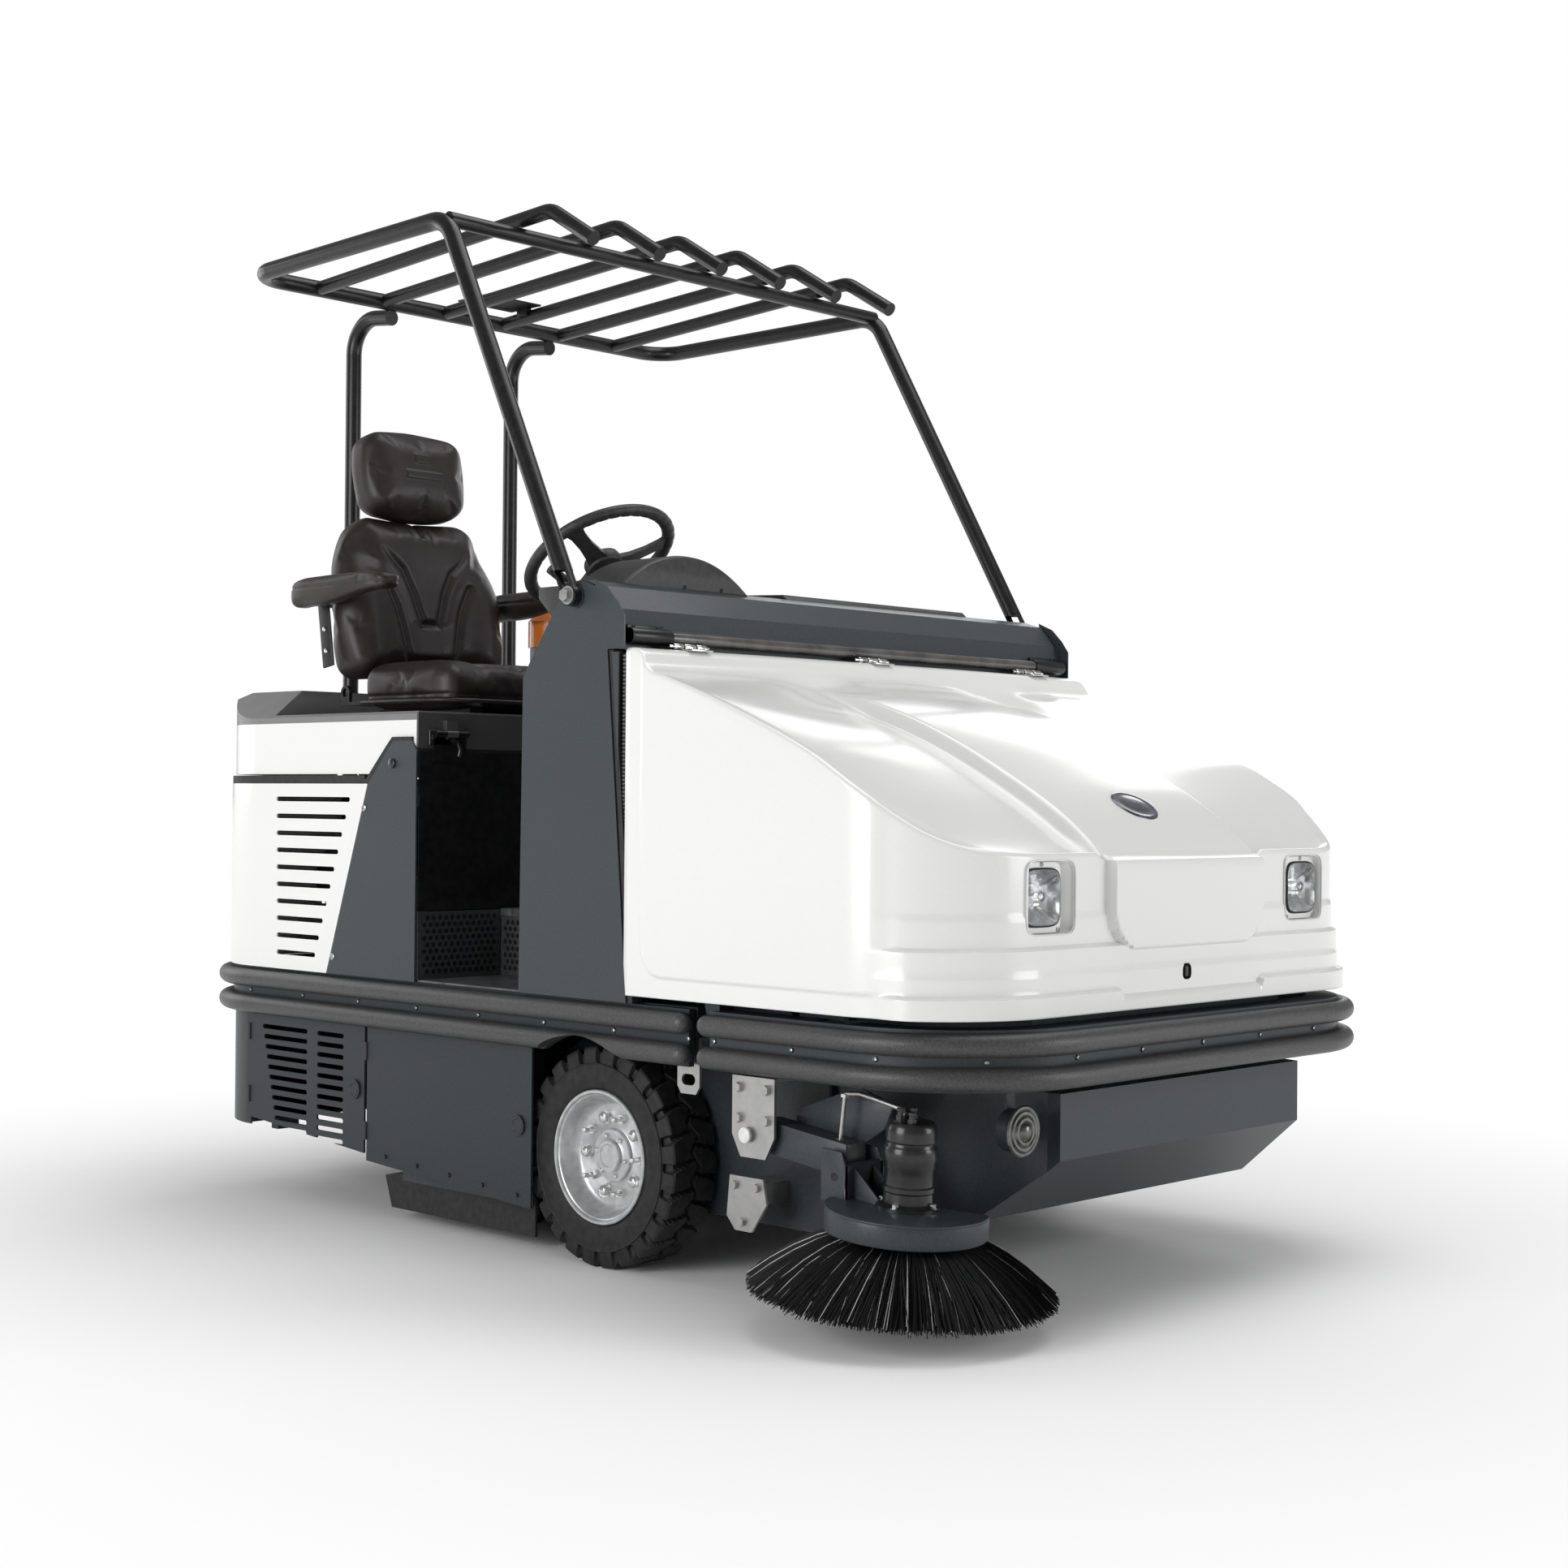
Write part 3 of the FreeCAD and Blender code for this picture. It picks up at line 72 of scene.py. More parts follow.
def new_material(name, colour, roughness, metallic=0.0, coat=0.0, specular=0.5):
    """Plain material, before its textures are added."""
    material = bpy.data.materials.new(name)
    material.use_nodes = True
    shader = material.node_tree.nodes["Principled BSDF"]
    shader.inputs["Base Color"].default_value = (*colour, 1)
    shader.inputs["Roughness"].default_value = roughness
    shader.inputs["Metallic"].default_value = metallic
    shader.inputs["Coat Weight"].default_value = coat
    shader.inputs["Coat Roughness"].default_value = 0.12
    shader.inputs["Specular IOR Level"].default_value = specular
    return material


def texture(material, kind, scale, detail=3.0):
    """Noise or Voronoi texture in the object's own coordinates; scale is in cells per metre."""
    tree = material.node_tree
    place = tree.nodes.get("Place") or tree.nodes.new("ShaderNodeTexCoord")
    place.name = "Place"
    node = tree.nodes.new(f"ShaderNodeTex{kind}")
    node.inputs["Scale"].default_value = scale
    if kind == "Noise":
        node.inputs["Detail"].default_value = detail
    tree.links.new(place.outputs["Object"], node.inputs["Vector"])
    return node


def ramp(material, source, low, high, start=0.35, end=0.65):
    """Colour ramp between two colours, driven by a texture's value."""
    tree = material.node_tree
    node = tree.nodes.new("ShaderNodeValToRGB")
    node.color_ramp.elements[0].position = start
    node.color_ramp.elements[0].color = (*low, 1)
    node.color_ramp.elements[1].position = end
    node.color_ramp.elements[1].color = (*high, 1)
    tree.links.new(source, node.inputs["Fac"])
    return node.outputs["Color"]


def mottle(material, low, high, scale, detail=4.0):
    """Colour that wanders between two close tones."""
    shader = material.node_tree.nodes["Principled BSDF"]
    source = texture(material, "Noise", scale, detail).outputs["Fac"]
    colour = ramp(material, source, low, high)
    material.node_tree.links.new(colour, shader.inputs["Base Color"])


def rough_patches(material, low, high, scale):
    """Roughness that wanders between two values."""
    shader = material.node_tree.nodes["Principled BSDF"]
    source = texture(material, "Noise", scale, 5.0).outputs["Fac"]
    value = ramp(material, source, (low,) * 3, (high,) * 3, 0.3, 0.7)
    material.node_tree.links.new(value, shader.inputs["Roughness"])


def grain(material, *layers):
    """Bump made of layers (texture kind, cells per metre, depth in mm)."""
    tree = material.node_tree
    normal = None
    for kind, scale, depth in layers:
        source = texture(material, kind, scale)
        bump = tree.nodes.new("ShaderNodeBump")
        bump.inputs["Distance"].default_value = depth / 1000
        bump.inputs["Strength"].default_value = 1.0
        output = source.outputs["Distance"] if kind == "Voronoi" else source.outputs["Fac"]
        tree.links.new(output, bump.inputs["Height"])
        if normal:
            tree.links.new(normal, bump.inputs["Normal"])
        normal = bump.outputs["Normal"]
    tree.links.new(normal, tree.nodes["Principled BSDF"].inputs["Normal"])


def two_tone(material, y, front, rear):
    """One colour in front of a Y position and another behind it."""
    tree = material.node_tree
    place = tree.nodes.get("Place")
    split = tree.nodes.new("ShaderNodeSeparateXYZ")
    side = tree.nodes.new("ShaderNodeMath")
    side.operation, side.inputs[1].default_value = "GREATER_THAN", y
    tree.links.new(place.outputs["Object"], split.inputs["Vector"])
    tree.links.new(split.outputs["Y"], side.inputs[0])
    colour = ramp(material, side.outputs["Value"], front, rear, 0.4, 0.6)
    tree.links.new(colour, tree.nodes["Principled BSDF"].inputs["Base Color"])


mats = {}


def finish(name, colour, roughness, tones=None, patches=None, layers=(), transmission=0.0, **shader):
    """Adds one material: base, wandering colour, patches of roughness and layers of bump."""
    material = mats[name] = new_material(name, colour, roughness, **shader)
    material.node_tree.nodes["Principled BSDF"].inputs["Transmission Weight"].default_value = transmission
    if tones:
        mottle(material, *tones)
    if patches:
        rough_patches(material, *patches)
    if layers:
        grain(material, *layers)


def greys(low, high, *scale):
    return (low,) * 3, (high,) * 3, *scale


def make_materials():
    """Every material of the machine, in linear colour."""
    finish("frame_paint", (0.031, 0.039, 0.045), 0.44, ((0.026, 0.034, 0.039), (0.037, 0.046, 0.052), 260),
           layers=(("Noise", 420, 0.25), ("Noise", 90, 0.12)), coat=0.12, specular=0.38)
    # Darker copy of frame_paint: the same paint, made darker for the lower body, doors and chassis frame as painted
    # shade where less light falls low down.
    finish("frame_paint_painted_shade", (0.021, 0.026, 0.030), 0.46, ((0.017, 0.022, 0.025), (0.025, 0.031, 0.035), 260),
           layers=(("Noise", 420, 0.25), ("Noise", 90, 0.12)), coat=0.1, specular=0.34)
    finish("black_steel", (0.006, 0.006, 0.007), 0.34, ((0.004, 0.004, 0.005), (0.010, 0.010, 0.011), 60),
           layers=(("Noise", 260, 0.08),), coat=0.15, specular=0.3)
    finish("zinc", (0.55, 0.54, 0.52), 0.34, ((0.40, 0.40, 0.39), (0.46, 0.455, 0.445), 45), (0.30, 0.42, 70),
           (("Noise", 500, 0.05),), metallic=0.95)
    finish("chromed", (0.72, 0.72, 0.72), 0.12, patches=(0.08, 0.2, 40), metallic=1.0)
    finish("white_panel", (0.78, 0.78, 0.77), 0.30, ((0.755, 0.755, 0.75), (0.80, 0.80, 0.79), 700, 2.0),
           layers=(("Noise", 650, 0.03), ("Noise", 24, 0.25)), coat=0.55)
    finish("dark_plastic", (0.022, 0.022, 0.023), 0.5, ((0.018, 0.018, 0.019), (0.030, 0.030, 0.031), 90),
           layers=(("Voronoi", 700, 0.12),))
    finish("grey_deck", (0.20, 0.20, 0.205), 0.46, ((0.165, 0.165, 0.168), (0.18, 0.18, 0.184), 30),
           layers=(("Voronoi", 520, 0.18),))
    finish("black_rubber", (0.012, 0.012, 0.012), 0.7, greys(0.009, 0.020, 60), layers=(("Noise", 300, 0.3),))
    finish("bumper_rubber", (0.048, 0.048, 0.049), 0.40, ((0.036, 0.036, 0.037), (0.062, 0.062, 0.063), 240),
           layers=(("Voronoi", 420, 0.35), ("Noise", 60, 0.2)))
    finish("floor_plate", (0.10, 0.105, 0.11), 0.4, ((0.07, 0.074, 0.078), (0.15, 0.155, 0.16), 40),
           layers=(("Voronoi", 45, 2.0), ("Noise", 400, 0.15)), metallic=0.6)
    finish("seat_vinyl", (0.014, 0.009, 0.009), 0.44, ((0.011, 0.0075, 0.0075), (0.018, 0.012, 0.012), 35),
           layers=(("Voronoi", 620, 0.16), ("Noise", 900, 0.06)), coat=0.05, specular=0.4)
    finish("tyre_black", (0.010, 0.010, 0.0105), 0.62, ((0.007, 0.007, 0.0075), (0.018, 0.018, 0.0185), 45),
           layers=(("Noise", 380, 0.25), ("Noise", 60, 0.3)), specular=0.35)
    finish("rim_silver", (0.55, 0.555, 0.56), 0.36, ((0.47, 0.475, 0.48), (0.60, 0.605, 0.61), 50),
           layers=(("Noise", 350, 0.1),), metallic=0.7)
    finish("bristle", (0.006, 0.006, 0.0065), 0.6, ((0.003, 0.003, 0.0035), (0.012, 0.012, 0.0125), 300),
           specular=0.25)
    # Pale grey strands among the black bristles: painted highlight standing in for glints along the bristles.
    finish("bristle_highlight", (0.5, 0.5, 0.5), 0.35, greys(0.30, 0.75, 500))
    finish("motor_black", (0.008, 0.008, 0.0085), 0.3, greys(0.008, 0.016, 50), layers=(("Noise", 200, 0.12),),
           coat=0.25, specular=0.4)
    finish("amber", (0.85, 0.23, 0.03), 0.16, ((0.80, 0.20, 0.025), (0.92, 0.29, 0.05), 30), transmission=0.25,
           coat=0.5)
    finish("lamp_lens", (0.93, 0.95, 0.96), 0.04, layers=(("Voronoi", 60, 0.6),), transmission=0.95, coat=0.4)
    finish("smoke_lens", (0.055, 0.05, 0.05), 0.13, ((0.035, 0.032, 0.032), (0.11, 0.105, 0.10), 14), coat=0.8)
    finish("engine_cover", (0.78, 0.78, 0.77), 0.30, layers=(("Noise", 650, 0.03), ("Noise", 24, 0.25)), coat=0.4)
    two_tone(mats["engine_cover"], ORIGIN.y + 0.5625, (0.055, 0.055, 0.057), (0.78, 0.78, 0.77))
    finish("white_plastic", (0.8, 0.8, 0.78), 0.35, ((0.74, 0.74, 0.72), (0.82, 0.82, 0.80), 120))
    finish("grille_grey", (0.05, 0.053, 0.056), 0.4, ((0.04, 0.043, 0.046), (0.065, 0.068, 0.071), 120),
           metallic=0.4)
    finish("horn_steel", (0.16, 0.16, 0.155), 0.3, ((0.12, 0.12, 0.117), (0.19, 0.19, 0.185), 80), metallic=0.8)
    finish("reflector", (0.75, 0.76, 0.77), 0.16, patches=(0.1, 0.3, 60), metallic=1.0)
    finish("badge_blue", (0.035, 0.04, 0.07), 0.22, ((0.022, 0.024, 0.04), (0.06, 0.062, 0.09), 25),
           metallic=0.3, coat=0.8)


make_materials()


def finish_cad_nodes():
    """Every CAD node that stays in view gets the material of its slot, or one of its own."""
    slots = {part["node"]: part["material_slot"] for part in frame["record"]["subparts"]}
    # engine_bay_wall is a black panel; giving it the darkest black also adds painted shade inside the footwell.
    special = {"engine_hood": "engine_cover", "engine_bay_wall": "black_steel", "riser_grilles": "grille_grey"}
    # The lower body, doors and chassis frame take the darker copy of the frame paint, as painted shade low down.
    for name in ("lower_body", "brush_door_right", "brush_door_left", "louvre_door_right", "louvre_door_left",
                 "chassis_frame"):
        special[name] = "frame_paint_painted_shade"
    for name, node in nodes.items():
        for slot in node.material_slots:
            slot.material = mats[special.get(name, slots[name])]


# ---------------------------------------------------------------- mesh tools

def piece(name, points, faces, body, slot, material=None, angle=35):
    """New mesh piece from points in design millimetres."""
    mesh = bpy.data.meshes.new(name)
    mesh.from_pydata(metres(points).tolist(), [], faces)
    mesh.validate()
    thing = bpy.data.objects.new(name, mesh)
    bpy.context.scene.collection.objects.link(thing)
    mesh.materials.append(mats[material or slot])
    mesh.shade_smooth()
    mesh.set_sharp_from_angle(angle=math.radians(angle))
    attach(thing, body)
    return thing


def grid_faces(rows, cols, start=0, wrap=False, flip=False):
    """Quads between rows of points; wrap closes each row on itself."""
    faces = []
    for i in range(rows - 1):
        for j in range(cols if wrap else cols - 1):
            a, b = start + i * cols + j, start + i * cols + (j + 1) % cols
            c, d = b + cols, a + cols
            faces.append((a, d, c, b) if flip else (a, b, c, d))
    return faces


def closed(rows, cols):
    """Faces of a wrapped grid with both its ends closed."""
    return [*grid_faces(rows, cols, wrap=True), tuple(range(cols - 1, -1, -1)),
            tuple(range((rows - 1) * cols, rows * cols))]


def curve(table, place):
    """Smooth value at a place from a table of (place, value)."""
    keys, values = (np.array(column, float) for column in zip(*sorted(table)))
    slopes = np.gradient(values, keys)
    place = np.clip(np.asarray(place, float), keys[0], keys[-1])
    index = np.clip(np.searchsorted(keys, place) - 1, 0, len(keys) - 2)
    gap = keys[index + 1] - keys[index]
    t = (place - keys[index]) / gap
    return ((2 * t ** 3 - 3 * t ** 2 + 1) * values[index] + (t ** 3 - 2 * t ** 2 + t) * gap * slopes[index]
            + (3 * t ** 2 - 2 * t ** 3) * values[index + 1] + (t ** 3 - t ** 2) * gap * slopes[index + 1])


def step(low, high, value):
    """Smooth step from 0 at low to 1 at high."""
    t = np.clip((value - low) / (high - low), 0, 1)
    return t * t * (3 - 2 * t)


def join_mesh(name, parts, body, slot, material=None, angle=35):
    """One piece from several (points, faces) pairs."""
    points, faces = [], []
    for part_points, part_faces in parts:
        start = len(points)
        points.extend(np.asarray(part_points, float).tolist())
        faces.extend([tuple(start + i for i in face) for face in part_faces])
    return piece(name, points, faces, body, slot, material, angle=angle)


def apply_modifiers(thing):
    """Turns the piece's modifiers into its mesh."""
    graph = bpy.context.evaluated_depsgraph_get()
    mesh = bpy.data.meshes.new_from_object(thing.evaluated_get(graph), depsgraph=graph)
    thing.modifiers.clear()
    thing.data = mesh


def axes(direction):
    """Three unit vectors, the last along the direction."""
    w = Vector(direction).normalized()
    u = w.orthogonal().normalized()
    if abs(w.z) < 0.9:
        u = Vector((0, 0, 1)).cross(w).normalized()
    return np.array(u), np.array(w.cross(u)), np.array(w)


def turned(profile, centre, direction, sides=32):
    """Solid of revolution: profile is (distance along the axis, radius) from one closed end to the other."""
    u, v, w = axes(direction)
    angles = 2 * math.pi * np.arange(sides) / sides
    ring = np.cos(angles)[:, None] * u + np.sin(angles)[:, None] * v
    points = np.concatenate([np.array(centre) + along * w + radius * ring for along, radius in profile])
    return points, closed(len(profile), sides)


def rounded(length, radius, fillet):
    """Profile of a cylinder with rounded ends, for turned()."""
    arc = [(fillet * (1 - math.cos(t)), radius - fillet * (1 - math.sin(t)))
           for t in (0, math.pi / 6, math.pi / 3, math.pi / 2)]
    return [(0, 0.0)] + arc + [(length - along, r) for along, r in reversed(arc)] + [(length, 0.0)]


def tube(path, radius, sides=12):
    """Round bar along a list of points."""
    path = [Vector(p) for p in path]
    points, frame_u = [], None
    for i, p in enumerate(path):
        way = (path[min(i + 1, len(path) - 1)] - path[max(i - 1, 0)]).normalized()
        if frame_u is None:
            frame_u = Vector(axes(way)[0])
        frame_u = (frame_u - way * frame_u.dot(way)).normalized()
        side = way.cross(frame_u)
        for k in range(sides):
            angle = 2 * math.pi * k / sides
            points.append(p + radius * (math.cos(angle) * frame_u + math.sin(angle) * side))
    return [list(p) for p in points], closed(len(path), sides)


def rounded_box(low, high, radius, steps=3):
    """Box with rounded edges, as points and faces."""
    low, high = np.array(low, float), np.array(high, float)
    radius = min(radius, (high - low).min() / 2 - 0.01)
    centre, half = (low + high) / 2, (high - low) / 2 - radius
    points, faces = [], []
    arc = [math.tan(math.radians(a)) for a in np.linspace(-45, 45, 2 * steps + 1)]
    ticks = [(-1, t) for t in arc[:steps + 1]] + [(1, t) for t in arc[steps:]]
    for axis in range(3):
        a, b = (axis + 1) % 3, (axis + 2) % 3
        for sign in (-1, 1):
            start = len(points)
            for side_a, ta in ticks:
                for side_b, tb in ticks:
                    way = np.zeros(3)
                    way[axis], way[a], way[b] = sign, ta, tb
                    core = np.zeros(3)
                    core[axis], core[a], core[b] = sign, side_a, side_b
                    points.append(centre + core * half + radius * way / np.linalg.norm(way))
            faces += grid_faces(len(ticks), len(ticks), start, flip=sign < 0)
    return np.array(points), faces


def screw_head(centre, direction, radius, height):
    """Domed screw head with a socket."""
    profile = [(0, radius), (height * 0.5, radius), (height * 0.85, radius * 0.82), (height, radius * 0.5),
               (height * 0.55, radius * 0.42), (height * 0.5, 0.01)]
    return turned(profile, centre, direction, 16)


def weld(thing):
    """Joins points that meet and turns all faces outwards."""
    mesh = bmesh.new()
    mesh.from_mesh(thing.data)
    bmesh.ops.remove_doubles(mesh, verts=mesh.verts, dist=0.00002)
    bmesh.ops.recalc_face_normals(mesh, faces=mesh.faces)
    mesh.to_mesh(thing.data)
    mesh.free()


def extruded(outline, low, high, axis="x"):
    """Flat plate from a closed outline: (Y, Z) along X, or (X, Y) along Z."""
    count = len(outline)
    if axis == "x":
        points = [(low, a, b) for a, b in outline] + [(high, a, b) for a, b in outline]
    else:
        points = [(a, b, low) for a, b in outline] + [(a, b, high) for a, b in outline]
    faces = [tuple(range(count - 1, -1, -1)), tuple(range(count, 2 * count))]
    faces += [(i, (i + 1) % count, count + (i + 1) % count, count + i) for i in range(count)]
    return points, faces


def soften(thing, width):
    """Rounds a piece's hard edges by a width in millimetres."""
    weld(thing)
    bevel = thing.modifiers.new("soft", "BEVEL")
    bevel.width, bevel.segments, bevel.limit_method = width / 1000, 2, "ANGLE"
    bevel.angle_limit = math.radians(40)
    apply_modifiers(thing)
    thing.data.shade_smooth()
    thing.data.set_sharp_from_angle(angle=math.radians(50))


# ---------------------------------------------------------------- hood

HOOD_HALF, HOOD_FRONT, HOOD_CORNER = 728.0, -958.0, 250.0
HOOD_REAR, CREASE_ROUND = -126.0, 10.0
# Height along Y of the edge between wall and top, and of the middle of the top.
CREASE = [(-126, 1258), (-158, 1254), (-170, 1246), (-182, 1226), (-200, 1211), (-234, 1200), (-320, 1172),
          (-400, 1143), (-480, 1112), (-565, 1077), (-640, 1042), (-700, 1008), (-760, 972), (-820, 930),
          (-870, 898), (-915, 876), (-958, 864)]
SPINE = [(-126, 1260), (-158, 1256), (-170, 1248), (-184, 1230), (-204, 1214), (-260, 1192), (-360, 1164),
         (-465, 1131), (-590, 1080), (-717, 1016), (-810, 964), (-895, 906), (-930, 877), (-958, 850)]
STRIPE_HALF, STRIPE_FOOT = 258.0, 292.0
LAMP_X, LAMP_Z, LAMP_WIDE, LAMP_HIGH = 433.5, 782.0, 139.0, 134.0
LENS_X, PLATE_HALF = 444.5, 58.5
LATCH_X, LATCH_Z = -13, 628


def hood_ring():
    """Half outline of the hood from its rear edge to the middle of its front: place and outward direction."""
    side = [HOOD_REAR, -140, -152, -160, -166, -170, -173, -176, -180, -184, -190]
    side += list(np.arange(-198, HOOD_FRONT + HOOD_CORNER, -8))
    places = [(HOOD_HALF, y, 1.0, 0.0) for y in side]
    for t in np.linspace(0, math.pi / 2, 46):
        places.append((HOOD_HALF - HOOD_CORNER + HOOD_CORNER * math.cos(t),
                       HOOD_FRONT + HOOD_CORNER - HOOD_CORNER * math.sin(t), math.cos(t), -math.sin(t)))
    front = [*np.arange(470, 300, -8), *range(298, 250, -4), 248, *np.arange(244, 160, -4), *np.arange(160, -1, -8)]
    return places + [(x, HOOD_FRONT, 0.0, -1.0) for x in front]


def stripe_width(y):
    """Share of its full height that the raised centre stripe has along the hood."""
    return step(-196, -400, y)


def hood_top(x, y):
    """Height of the hood's top, with its raised centre stripe and shoulders."""
    x = np.abs(x)
    spine, crease = curve(SPINE, y), curve(CREASE, y)
    drop = 32 * stripe_width(y) * (1 - 0.45 * step(-860, -956, y))
    blend = step(STRIPE_HALF, STRIPE_FOOT, x)
    across = np.clip((x - STRIPE_FOOT) / (HOOD_HALF - STRIPE_FOOT), 0, 1)
    shoulder_start = spine - drop
    shoulder = shoulder_start + (crease - shoulder_start) * step(-0.12, 1.05, across)
    facet = 10 * step(-196, -235, y) * step(-360, -250, y) * step(150, 262, x) * step(420, 290, x)
    middle = spine + 5 * (1 - (x / STRIPE_HALF) ** 2) * step(-170, -240, y)
    return np.where(x < STRIPE_HALF, middle, shoulder * blend + spine * (1 - blend)) - facet


def hood_wall_offset(x, y, z):
    """How far the wall stands out from the base outline: side panels, front ledges and centre stripe."""
    side = step(-812, -762, y)
    rear = step(-170, -181, y)
    corner = 60.0
    low = 607 + corner - np.sqrt(np.clip(corner ** 2 - np.clip(corner - (-176 - y), 0, corner) ** 2, 0, None))
    panel = 6.5 * side * rear * step(low - 5, low + 5, z)
    front = step(-770, -850, y)
    lower = 606 - 17 * step(246, 232, np.abs(x)) * (y < HOOD_FRONT + 1)
    ledges = 11 * step(694, 687, z) + 13 * step(lower + 4, lower - 3, z) + 3 * step(752, 744, z)
    ledges += 2.0 * step(646, 640, z)
    half = 258 - 86 * (1 - np.sqrt(np.clip(1 - np.clip((757 - z) / 80, 0, 1) ** 2, 0, 1)))
    stripe = 21 * step(half + 4, half - 4, np.abs(x)) * step(674, 682, z) * (y < HOOD_FRONT + 1)
    return panel + front * np.maximum(ledges, stripe)


def build_hood():
    """Moulded hood: walls in rows up to the crease, a rounded edge, then rows across the top."""
    half_ring = hood_ring()
    ring = [(-x, y, -nx, ny) for x, y, nx, ny in half_ring] + half_ring[-2::-1]
    heights = [566, 569, 578, 588, 596, 600, 603, 606, 609, 612, 616, 626, 636, 640, 644, 654, 664, 671, 674, 677,
               680, 683, 687, 690, 694, 699, 705, 711, 717, 724, 731, 738, 743, 747, 752, 758, 766, 780, 796, 812,
               828, 842]
    points, count = [], len(ring)
    x, y, nx, ny = np.array(ring).T
    crest = curve(CREASE, y)
    in_stripe = step(STRIPE_FOOT, STRIPE_HALF, np.abs(x)) * (y < HOOD_FRONT + 1)
    crest = crest * (1 - in_stripe) + curve(SPINE, y) * in_stripe
    rows = [np.full(count, float(z)) for z in heights]
    for share in (0.2, 0.4, 0.6, 0.8, 0.93):
        rows.append(heights[-1] + (crest - CREASE_ROUND - heights[-1]) * share)
    for z in rows:
        z = np.minimum(z, crest - CREASE_ROUND)
        out = hood_wall_offset(x, y, z)
        points.append(np.stack([x + nx * out, y + ny * out, z], 1))
    out = hood_wall_offset(x, y, crest - CREASE_ROUND)
    for angle in (0, 18, 36, 54, 72, 90):
        inset = out - CREASE_ROUND * (1 - math.cos(math.radians(angle)))
        z = crest - CREASE_ROUND * (1 - math.sin(math.radians(angle)))
        points.append(np.stack([x + nx * inset, y + ny * inset, z], 1))
    wall_rows = len(points)
    faces = grid_faces(wall_rows, count)
    edge = points[-1]
    corner = next(i for i, place in enumerate(ring) if place[1] <= HOOD_FRONT + 0.01)
    front = edge[corner:count - corner]
    share, fixed = front[:, 0], 300
    limit = share.max()
    start = wall_rows * count
    columns = len(front)
    top = []
    for k in range(corner):
        half = edge[count - 1 - k][0]
        spread = np.sign(share) * (fixed + (np.abs(share) - fixed) * (half - fixed) / (limit - fixed))
        inner = np.where(np.abs(share) <= fixed, share, spread)
        row_y = np.full(columns, edge[k][1])
        row = np.stack([inner, row_y, hood_top(inner, row_y)], 1)
        row[0], row[-1] = edge[k], edge[count - 1 - k]
        top.append(row)
    top.append(front)
    faces += grid_faces(len(top), columns, start, flip=True)
    points = np.concatenate(points + top)
    hood = piece("hood_skin", points, faces, "hood", "white_panel", angle=50)
    weld(hood)
    solid = hood.modifiers.new("thick", "SOLIDIFY")
    solid.thickness, solid.offset = 0.004, -1
    apply_modifiers(hood)
    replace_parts(hood, "hood_shell")
    return hood


def superellipse(half_x, half_z, power, count):
    """Rounded-rectangle outline as its X and Z values."""
    angles = 2 * math.pi * np.arange(count) / count
    c, s = np.cos(angles), np.sin(angles)
    return (np.sign(c) * np.abs(c) ** (2 / power) * half_x, np.sign(s) * np.abs(s) ** (2 / power) * half_z)


def prism_y(outline, centre_x, centre_z, stations):
    """Lofted shape along Y: stations are (y, growth in mm)."""
    xs, zs = outline
    size = np.hypot(xs, zs)
    points = []
    for y, grow in stations:
        scale = 1 + grow / size.max()
        points.append(np.stack([centre_x + xs * scale, np.full(len(xs), y), centre_z + zs * scale], 1))
    count = len(xs)
    faces = grid_faces(len(stations), count, wrap=True)
    return np.concatenate(points), faces


def prism_cap(rows, count):
    """Face over the last station of a prism_y()."""
    return tuple(range((rows - 1) * count, rows * count))


def cut(thing, cutters):
    """Boolean difference with closed (points, faces) shapes."""
    for index, (points, faces) in enumerate(cutters):
        mesh = bpy.data.meshes.new(f"cut_{index}")
        mesh.from_pydata(metres(points).tolist(), [], faces)
        tool = bpy.data.objects.new(f"cut_{index}", mesh)
        bpy.context.scene.collection.objects.link(tool)
        weld(tool)
        change = thing.modifiers.new("cut", "BOOLEAN")
        change.operation, change.solver, change.object = "DIFFERENCE", "EXACT", tool
        apply_modifiers(thing)
        bpy.data.objects.remove(tool)


